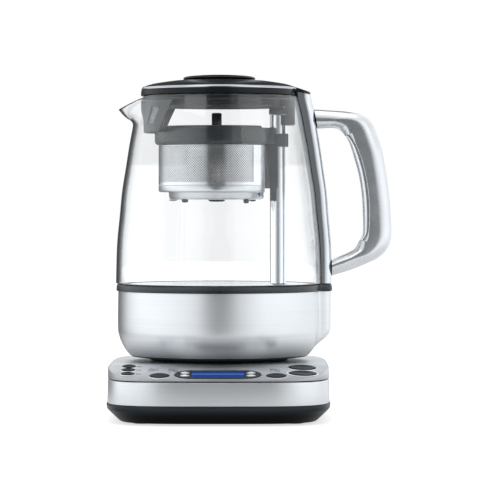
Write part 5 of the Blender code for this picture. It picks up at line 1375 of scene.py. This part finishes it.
@dataclass
class LiftPost:
    """Post in the jug and its cap; the drive inside keeps its CAD shapes with finished surfaces."""

    post: Pair = (0.1001, 0.2326)
    half: Pair = (0.0061, 0.007)
    corner: float = 0.0025
    wall: float = 0.0013
    powers: Pair = (2.2, 5.0)          # of the outline outside, which is nearly an oval, and inside
    cap_height: float = 0.0052

    def outline(self, grow: float) -> np.ndarray:
        """Outline of the post, grown by a distance.

        Along each turn the two half sizes give shares, and one over the sum of the shares raised to
        the power gives the distance raised to it.
        """
        power = self.powers[0] if abs(grow) < self.wall / 2 else self.powers[1]
        turn = np.linspace(0, TURN, 96, endpoint=False)
        way = np.column_stack([np.cos(turn), np.sin(turn)])
        shares = (np.abs(way) / (np.array(self.half) + grow)) ** power
        return way * shares.sum(axis=1, keepdims=True) ** (-1 / power) + POST

    def build(self) -> None:
        """Makes the post with its foot, and the cap with a soft top."""
        low, high = self.post
        levels = [(0.0014, low), (0.0014, low + 0.002), (0.001, low + 0.0024), (0.0003, low + 0.0024),
                  (0.0, low + 0.0034), (0.0, high - 0.0003), (-0.0003, high), (-self.wall, high), (-self.wall, low)]
        Piece("lift_column", "jug", "satin_steel", ("guide_post",)).build(
            solid(layers((self.outline(grow), height) for grow, height in levels), Close.RING), FINISH.post_steel)
        bottom, top = high + 0.0003, high + 0.0003 + self.cap_height
        levels = [(0.0006, bottom), (0.0008, bottom + 0.0003), (0.0008, top - 0.0014), (0.0004, top - 0.0004),
                  (-0.0006, top)]
        blank = layers((round_box(self.half[0] + grow, self.half[1] + grow, self.corner, 9, POST), height)
                       for grow, height in levels)
        bore = upright(oval(POST_BORE, POST_BORE, 32, centre=POST), bottom - 0.003, high + 0.0035)
        Piece("column_cap", "jug", "slate_plastic", ("post_cap",)).cut(solid(blank), [bore], FINISH.slate)


@dataclass
class Basket:
    """Tea basket: rim, perforated wall, floor, slider, and its own lid with a knob."""

    axis: float = -0.002
    flat: float = 0.0371
    rim: Pair = (0.209, 0.222)
    rim_radius: float = 0.048
    wall: Pair = (0.1782, 0.2087)
    wall_radius: float = 0.045
    wall_thickness: float = 0.0006
    band: float = 0.0011                            # plain strip below the holes
    proud: float = 0.00004                          # that the strips stand out of the sheet by
    corner_ease: float = 0.0012
    plain_turn: float = math.radians(51)            # no holes within this turn of the post
    hole: float = 0.00057
    hole_inside: float = 0.00035
    pitch: float = 0.00196
    floor: Triple = (0.167, 0.1727, 0.1779)
    step_radius: float = 0.0369
    post_face: float = 0.0393
    # Place across and along, radius, and height of the foot.
    studs: tuple[tuple[float, float, float, float], ...] = (
        (-0.0359, 0.006, 0.0036, 0.166), (-0.0261, -0.018, 0.0026, 0.1647), (-0.0019, 0.0, 0.0065, 0.1652),
        (0.0208, -0.02, 0.0022, 0.1641), (0.0258, 0.008, 0.0028, 0.1656))
    slider: tuple[float, float, float, float] = (0.1663, 0.1757, 0.208, 0.218)     # tongue, body, ring, top
    slider_span: Pair = (0.0354, 0.0533)
    slider_half: float = 0.0096
    round_all: float = 0.5                          # a flat side this far out cuts nothing off

    def outline(self, radius: float, flat: float, steps: int = 160) -> np.ndarray:
        """Circle with a flat side at the post, whose two corners are eased."""
        angle = np.linspace(0, TURN, steps, endpoint=False)
        along = np.cos(angle)
        straight = flat / np.maximum(along, 0.2)
        eased = 0.5 * (radius + straight - np.sqrt((radius - straight) ** 2 + self.corner_ease ** 2))
        length = np.where(along > 0.2, eased, radius)
        return np.column_stack([self.axis + length * along, length * np.sin(angle)])

    def body(self, levels: Sequence[Triple], close: Close = Close.RING) -> Body:
        """Body from rows of radius, flat distance and height."""
        return solid(layers((self.outline(radius, flat), height) for radius, flat, height in levels), close)

    def build(self) -> None:
        """Makes every piece that the basket is of."""
        self.rim_piece()
        self.strainer()
        self.floor_piece()
        self.studs_piece()
        self.slider_piece()
        self.cover()

    def rim_piece(self) -> None:
        """Plastic rim: round outside with a drawn-in foot, a ledge inside, and room for the slider."""
        low, high = self.rim
        radius, flat = self.rim_radius, self.flat
        outside = [(-0.0034, low), (-0.002, low + 0.0003), (-0.0008, low + 0.001), (-0.0002, low + 0.002),
                   (0.0, low + 0.0032), (0.0, high - 0.0006), (-0.0002, high - 0.0002), (-0.0006, high)]
        inside = [(-0.0018, high), (-0.0022, high - 0.0004), (-0.0022, high - 0.0023), (-0.0042, high - 0.0023),
                  (-0.0042, low)]
        room = round_box(0.0125, self.slider_half + 0.0003, 0.0002, 2, (self.axis + flat + 0.0125, 0.0))
        Piece("basket_collar", "basket", "slate_plastic", ("basket_rim",), sharp=25.0).cut(
            self.body([(radius + inset, self.round_all, height) for inset, height in outside]
                      + [(radius + inset, flat + inset, height) for inset, height in inside]),
            [upright(room, low - 0.003, high + 0.003)], FINISH.slate)

    def strainer(self) -> None:
        """Perforated wall of diamond cells in staggered rows, each with a six-sided hole through it.

        A cell is four corners joined to six points round its hole, on both faces. The hole narrows inwards, and its
        wall and the inner face are one piece in steel darkened by painted shade. Plain strips close the wall.
        """
        low, high = self.wall
        radius, wall, centre = self.wall_radius, self.wall_thickness, (self.axis, 0.0)
        line = self.outline(radius, self.flat, 1440)
        turn = np.arctan2(line[:, 1], line[:, 0] - self.axis) % TURN
        before, after = turn <= self.plain_turn, turn >= TURN - self.plain_turn
        arc, rest = line[~(before | after)], np.vstack([line[after], line[before]])
        length = np.concatenate([[0.0], np.cumsum(np.linalg.norm(np.diff(arc, axis=0), axis=1))])
        columns = int(length[-1] / self.pitch)
        width = length[-1] / columns
        bottom = low + self.band
        rows = 2 * int((high - bottom) / self.pitch) - 1
        tall = (high - bottom) / (rows + 1)
        corner = np.array([(-0.5, 0.0), (0.0, -1.0), (0.5, 0.0), (0.0, 1.0)]) * (width, tall)
        hole = oval(-1.0, -1.0, 6)
        row, column = np.meshgrid(np.arange(rows), np.arange(columns), indexing="ij")
        middle = np.stack([(column + 0.5 + 0.5 * (row % 2)) * width, bottom + (row + 1) * tall], axis=-1)
        middle = middle[middle[..., 0] < length[-1] - width * 0.4]
        sheets = []
        for depth, size in ((0.0, self.hole), (wall, self.hole_inside)):
            flat = middle[:, None] + np.vstack([corner, hole * size])
            distance = np.clip(flat[..., 0], 0.0, length[-1])
            place = np.stack([np.interp(distance, length, arc[:, 0]), np.interp(distance, length, arc[:, 1])], -1)
            away = place - centre
            place -= away / np.linalg.norm(away, axis=-1, keepdims=True) * depth
            sheets.append(np.concatenate([place, flat[..., 1:]], -1))
        points = np.concatenate(sheets, axis=1)
        start = (np.arange(len(points)) * 20)[:, None]
        outside, inside = [], []
        for corners in ((0, 1, 6, 5, 4), (1, 2, 7, 6), (2, 3, 9, 8, 7), (3, 0, 4, 9)):
            outside += (start + corners).tolist()
            inside += (start + 10 + np.array(corners)[::-1]).tolist()
        for here in range(6):
            ahead = (here + 1) % 6
            inside += (start + (4 + here, 4 + ahead, 14 + ahead, 14 + here)).tolist()
        large, small = self.proud, -wall - self.proud
        strips = [self.body([(radius + grow, self.flat + grow, height)
                             for grow, height in ((large, foot), (large, top), (small, top), (small, foot))])
                  for foot, top in ((low, bottom + tall), (high - tall * 0.5, high))]
        away = rest - centre
        inner = rest - away / np.linalg.norm(away, axis=1, keepdims=True) * wall
        plain = layers(((rest, low), (rest, high), (inner, high), (inner, low))).swapaxes(0, 1)
        Piece("strainer_wall", "basket", "mirror_steel", ("basket_wall",)).build(
            join([(points, outside), *strips, solid(plain)]), FINISH.strainer_steel)
        # Painted shade: the inner face and the hole walls take the darker steel.
        Piece("strainer_inside", "basket", "mirror_steel").build((points, inside), FINISH.shade_steel)

    def floor_piece(self) -> None:
        """Pressed steel floor with a stepped edge."""
        bottom, shoulder, top = self.floor
        wide, step, far, side = self.wall_radius, self.step_radius, self.round_all, self.flat
        Piece("basket_bowl", "basket", "mirror_steel", ("basket_floor",)).build(self.body([
            (0.004, far, bottom + 0.0006), (step - 0.01, far, bottom + 0.0002), (step - 0.003, side - 0.003, bottom),
            (step - 0.0008, side - 0.0008, bottom + 0.0006), (step, side, bottom + 0.0018),
            (step + 0.0001, side, shoulder - 0.0008), (step + 0.0006, side, shoulder),
            (wide - 0.0016, side, shoulder + 0.0001), (wide - 0.0004, side, shoulder + 0.0006),
            (wide, side, shoulder + 0.0016), (wide, side, top), (wide - 0.001, side - 0.001, top),
            (wide - 0.0011, side - 0.0011, shoulder + 0.0022), (wide - 0.0026, side - 0.002, shoulder + 0.0011),
            (step - 0.0004, side - 0.0016, shoulder + 0.001), (step - 0.001, side - 0.0014, shoulder - 0.0002),
            (step - 0.0012, side - 0.0014, bottom + 0.0026), (step - 0.003, side - 0.004, bottom + 0.0011),
            (0.004, far, bottom + 0.0016)], Close.CAPS), FINISH.floor_steel)

    def studs_piece(self) -> None:
        """Small dark studs under the floor, each a turned dome, and the wide one in the middle."""
        domes = [turned(smooth_line([(0.0002, foot), (radius * 0.6, foot + 0.0002), (radius * 0.92, foot + 0.0007),
                                     (radius, self.floor[0] + 0.0001)], 3), 24, (across, along))
                 for across, along, radius, foot in self.studs]
        Piece("basket_studs", "basket", "slate_plastic").build(join(domes), FINISH.slate)

    def slider_piece(self) -> None:
        """Slider: a round-cornered block, less the post's way, the open back and the magnet's room."""
        tongue, low, shoulder, high = self.slider
        near, far = self.slider_span
        half, face, under = self.slider_half, self.post_face, tongue - 0.003

        def block(left: float, right: float, depth: float, top: float) -> Body:
            """Upright box from below the slider to a height."""
            return upright(np.array([(left, -depth), (right, -depth), (right, depth), (left, depth)]), under, top)

        levels = [(-0.0004, tongue), (0.0, tongue + 0.0004), (0.0, high - 0.0005), (-0.0005, high)]
        blank = layers((round_box((far - near) / 2 + grow, half + grow, 0.0024 + grow, 9, ((near + far) / 2, 0.0)),
                        height) for grow, height in levels)
        Piece("basket_runner", "basket", "slate_plastic", ("basket_slider",)).cut(solid(blank), [
            upright(round_box(0.0065, 0.0074, 0.0025, 9, POST), under, high + 0.003),
            block(face + 0.0058, 0.06, 0.02, shoulder), block(near + 0.0006, near + 0.003, 0.0051, low + 0.0203),
            block(near - 0.003, face, 0.02, low), block(face + 0.0044, 0.06, 0.02, low)], FINISH.matt)

    def cover(self) -> None:
        """The basket's own lid, a raised plate, and its knob: an upright pin with a soft top."""
        low, high, far = self.rim[1] - 0.002, self.rim[1] + 0.0016, self.round_all
        wide, flat = self.rim_radius - 0.0025, self.flat - 0.0025
        edge = [(0.0, low), (0.0, high - 0.0008), (0.0003, high - 0.0002), (0.001, high), (0.003, high),
                (0.0036, high - 0.0006)]
        Piece("basket_cover_plate", "basket_cover", "slate_plastic", ("basket_lid",)).build(self.body(
            [(0.0019, far, low)] + [(wide - inset, flat - inset, height) for inset, height in edge]
            + [(0.006, far, high - 0.0006), (0.0052, far, high), (0.0019, far, high)]), FINISH.slate)
        foot, top, wide = self.rim[1] + 0.0019, self.rim[1] + 0.0121, 0.0039
        line = [(0.0003, foot - 0.0036), (0.0016, foot - 0.0036), (0.0016, foot), (wide, foot),
                (wide, top - 0.0009), (wide - 0.0003, top - 0.0003), (wide - 0.0009, top), (0.0003, top + 0.0001)]
        Piece("basket_cover_knob", "basket_cover", "black_plastic", ("basket_lid_knob",)).build(
            turned(line, 64, (self.axis, 0.0)), FINISH.gloss_black)


# Lid ---


@dataclass
class Lid:
    """Domed cover, bright ring, knob, ribbed skirt, gasket, filter at the spout and arm at the handle."""

    seat: float = 0.2472
    dome: float = 0.0124
    radius: float = 0.0607
    land: float = 0.0544
    wall: float = 0.0018
    gap: float = 0.0003
    hollow: float = 0.0093
    # Radius share and share of the dome's height.
    dome_shares: tuple[Pair, ...] = (
        (0.47, 1.0), (0.58, 0.955), (0.692, 0.885), (0.83, 0.775), (0.9, 0.69), (0.945, 0.615),
        (0.979, 0.535))
    edge_shares: tuple[Pair, ...] = ((0.993, 0.39), (0.998, 0.24), (1.0, 0.05))
    ring_sink: float = 0.001
    knob_radius: float = 0.0279
    knob: Pair = (0.2599, 0.2636)
    knob_shares: tuple[Pair, ...] = (
        (0.011, 1.0), (0.25, 0.99), (0.45, 0.955), (0.62, 0.89), (0.78, 0.8), (0.9, 0.68),
        (0.97, 0.53), (1.0, 0.32), (0.992, 0.13), (0.964, 0.0))
    skirt: Triple = (0.2385, 0.2434, 0.2469)      # foot, flange, top
    skirt_radius: float = 0.0588
    neck_radius: float = 0.0524
    skirt_wall: float = 0.003
    groove: Triple = (0.2441, 0.2461, 0.001)     # low, high, depth
    filter_radius: float = 0.0586
    filter_wall: float = 0.0014
    filter_span: Pair = (0.2188, 0.2431)
    filter_angles: Pair = (math.radians(39), math.radians(54))
    window_angles: Pair = (math.radians(26.5), math.radians(35))
    window_half: float = math.radians(5.5)
    window_span: Pair = (0.2252, 0.2378)
    sheet_pitch: Pair = (0.0024, 0.0017)     # along the arc, and upright
    sheet_angles: Pair = (math.radians(35), math.radians(44))
    arm_height: float = 0.0183
    arm_inner: float = 0.053
    arm_half: float = math.radians(13)
    steps: int = 192

    def build(self) -> None:
        """Makes every piece of the lid."""
        self.cover()
        self.knob_piece()
        self.skirt_piece()
        self.filter()
        self.arm()

    def cover(self) -> None:
        """Glossy dome with a step in its shoulder, and the bright ring that lies in the step."""
        scale, shift = np.array([self.radius, self.dome]), np.array([0.0, self.seat])
        outline = smooth_line(self.dome_shares, 8) * scale + shift
        edge = smooth_line(self.edge_shares, 6) * scale + shift
        upper, lower = outline[-1], edge[0]
        step = [upper + (0.0, self.gap), upper + (-self.ring_sink, self.gap), lower + (-self.ring_sink, -self.gap),
                lower + (0.0, -self.gap)]
        roof = outline[:25:8] - (0.0, self.wall)
        inside = [(self.radius - 0.0004, self.seat), (self.land, self.seat),
                  (self.land - self.wall, roof[-1, 1] - self.wall)]
        top = self.seat + self.dome
        Piece("lid_dome", "lid", "black_plastic", ("lid_cover",), sharp=30.0).build(
            turned([(self.hollow, top), *outline[:-1], *step, *edge[1:], *inside, *roof[::-1],
                    (self.hollow, top - self.wall)], self.steps), FINISH.dome)
        bow = np.linspace(0, 1, 7)[:, None]
        face = upper + (lower - upper) * bow + (0.00025, 0.0001) * np.sin(bow * math.pi)
        thick = np.array([self.ring_sink - self.gap, 0.0])
        Piece("lid_bright_ring", "lid", "mirror_steel", ("lid_trim_ring",)).build(
            turned([*face, lower - thick, upper - thick], self.steps), FINISH.ring_steel)

    def knob_piece(self) -> None:
        """Low round knob: domed top, round edge, and the stem through the dome."""
        low, high = self.knob
        line = smooth_line(self.knob_shares, 6) * (self.knob_radius, high - low) + (0.0, low)
        stem = [(0.009, low), (0.009, low - 0.0045), (line[0, 0], low - 0.0045)]
        Piece("lid_grip", "lid", "black_plastic", ("lid_knob",)).build(
            turned([*line, *stem], self.steps), FINISH.knob)

    def skirt_piece(self) -> None:
        """Skirt: a flange with the gasket's groove, and a narrower ribbed neck; the gasket has two lips."""
        foot, flange, high = self.skirt
        low_groove, high_groove, depth = self.groove
        radius, neck = self.skirt_radius, self.neck_radius
        inside, middle = neck - self.skirt_wall, (low_groove + high_groove) / 2
        level = np.linspace(foot + 0.0006, flange - 0.0004, 48)
        ribs = np.column_stack([neck - 0.0002 * (1 + np.cos((level - foot) / 0.0012 * TURN)), level])
        line = [(inside, foot), (neck - 0.0006, foot), (neck - 0.0001, foot + 0.0004), *ribs,
                (neck, flange), (radius - 0.0004, flange), (radius, flange + 0.0003), (radius, low_groove),
                (radius - depth, low_groove), (radius - depth, high_groove), (radius, high_groove),
                (radius, high - 0.0003), (radius - 0.0003, high), (inside, high)]
        Piece("lid_collar", "lid", "slate_plastic", ("lid_skirt",), sharp=40.0).build(
            turned(line, self.steps), FINISH.slate)
        # Painted light: the collar's inside face is coloured pale, as if lit.
        line = [(inside - 0.0002, foot), (inside, foot), (inside, high), (inside - 0.0002, high)]
        Piece("lid_collar_inside", "lid", "slate_plastic").build(turned(line, self.steps), FINISH.painted_lit_plastic)
        rise = np.linspace(-0.0008, 0.0008, 25)
        lips = np.column_stack([0.059 + 0.0002 * np.cos(rise / 0.0008 * TURN), middle + rise])
        root = radius - depth + self.gap
        Piece("lid_seal", "lid", "black_rubber", ("lid_gasket",)).build(
            turned([(root, middle - 0.0008), *lips, (root, middle + 0.0008)], self.steps), FINISH.rubber)

    def arc(self, inner: float, outer: float, heights: Pair, angles: Pair, middle: float,
            edge: float = 0.0004) -> Body:
        """Piece of a ring wall whose ends slant from the first angle at the bottom to the second at the top.

        The turn of a point is the middle, plus the angle at its height times the share of the way from
        end to end, so a ring of the section is carried from one end to the other.
        """
        low, high = heights
        corners = rounded_profile([(inner, low, edge), (outer, low, edge), (outer, high, edge),
                                   (inner, high, edge)], 4)
        level = np.linspace(0, 1, 14)[1:-1, None]
        section = []
        for point, after in zip(corners, np.roll(corners, -1, axis=0)):
            section.append(point[None])
            if abs(after[1] - point[1]) > (high - low) / 2:
                section.append(point + (after - point) * level)
        section = np.vstack(section)
        share = np.linspace(-1, 1, 97)[:, None]
        angle = middle + (angles[0] + (angles[1] - angles[0]) * (section[:, 1] - low) / (high - low)) * share
        return solid(np.stack([section[:, 0] * np.cos(angle), section[:, 0] * np.sin(angle),
                               np.broadcast_to(section[:, 1], angle.shape)], axis=-1))

    def window(self, side: int) -> Body:
        """Cutter of a slanting window: two rings round it at its lower and upper height."""
        radius = np.array([-0.006, -0.006, 0.003, 0.003]) + self.filter_radius
        levels = []
        for height, angle in zip(self.window_span, self.window_angles):
            turn = math.pi + side * (angle + np.array([-1, 1, 1, -1]) * self.window_half)
            levels.append((np.column_stack([radius * np.cos(turn), radius * np.sin(turn)]), height))
        return solid(layers(levels))

    def filter(self) -> None:
        """Plastic frame with two windows, and the perforated steel sheet behind it."""
        inner = self.filter_radius - self.filter_wall
        Piece("filter_frame", "lid", "slate_plastic", ("spout_filter",), sharp=30.0).cut(
            self.arc(inner, self.filter_radius, self.filter_span, self.filter_angles, math.pi),
            [self.window(-1), self.window(1)], FINISH.frame)
        self.sheet(inner - 0.0003)

    def sheet(self, radius: float) -> None:
        """Thin steel sheet with round holes: a grid of cells, each an edge ring joined to its hole's ring."""
        low, high = self.filter_span
        rows = int((high - low) / self.sheet_pitch[1])
        columns, thick = int(2 * self.sheet_angles[0] * radius / self.sheet_pitch[0]), 0.0004
        corner = np.array([(-1, -1), (0, -1), (1, -1), (1, 0), (1, 1), (0, 1), (-1, 1), (-1, 0)]) * 0.5
        turn = np.arctan2(corner[:, 1], corner[:, 0])
        around = np.stack([np.cos(turn), np.sin(turn)], axis=-1) * 0.38
        row, column = np.meshgrid(np.arange(rows), np.arange(columns), indexing="ij")
        middle = np.stack([column + 0.5, row + 0.5], axis=-1)[..., None, :]
        flat = np.stack([middle + corner, middle + around], axis=2)
        across, level = flat[..., 0] / columns * 2 - 1, flat[..., 1] / rows
        spread = self.sheet_angles[0] + (self.sheet_angles[1] - self.sheet_angles[0]) * level
        angle = math.pi + spread * across
        height = low + 0.0002 + (high - low - 0.0004) * level
        points = np.stack([np.stack([size * np.cos(angle), size * np.sin(angle), height], axis=-1)
                           for size in (radius, radius - thick)], axis=4)
        first = (np.arange(rows * columns) * 32)[:, None] + np.arange(8) * 2
        second = np.roll(first, -1, axis=1)
        faces = [np.stack([first, second, second + 16, first + 16], -1),
                 np.stack([second + 1, first + 1, first + 17, second + 17], -1),
                 np.stack([first + 16, second + 16, second + 17, first + 17], -1)]
        Piece("filter_sheet", "lid", "mirror_steel", ("spout_filter_mesh",)).build(
            (points, np.concatenate(faces).reshape(-1, 4).tolist()), FINISH.net)

    def arm(self) -> None:
        """Arm at the back of the lid that keys it to the handle's side."""
        top = self.filter_span[1]
        Piece("lid_key", "lid", "slate_plastic", ("lid_rear_arm",)).build(
            self.arc(self.arm_inner, self.filter_radius, (top - self.arm_height, top),
                     (self.arm_half, self.arm_half), 0.0, 0.0008), FINISH.matt)


# Carried-over pieces and the whole ---


@dataclass
class InnerWorks:
    """Pieces inside the base and the jug's foot that keep their CAD shapes, with finished surfaces."""

    finishes: dict[str, Finish] = field(default_factory=lambda: {
        "display_module": FINISH.black, "control_board": FINISH.board, "jug_connector": FINISH.white,
        "heating_element": FINISH.satin_steel, "lead_screw": FINISH.bright_steel, "screw_gear": FINISH.white,
        "motor_pinion": FINISH.brass, "lift_motor": FINISH.satin_steel, "magnet_carriage": FINISH.slate,
        "slider_magnet": FINISH.satin_steel})

    def build(self) -> None:
        """Gives each node its finish by filling its object's material slots."""
        for name, finish in self.finishes.items():
            node = frame["nodes"][name]
            for slot in node.material_slots:
                slot.material = finish.material()
            LOG.info("%s: %s", name, finish.name)


def main() -> None:
    """Builds the studio and every sub-assembly."""
    logging.basicConfig(level=logging.INFO, format="%(message)s")
    for part in (Studio(), PowerBase(), ButtonPanel(), Jug(), Handle(), LiftPost(), Basket(), Lid(), InnerWorks()):
        LOG.info("building %s", type(part).__name__)
        part.build()


if __name__ == "__main__":
    main()
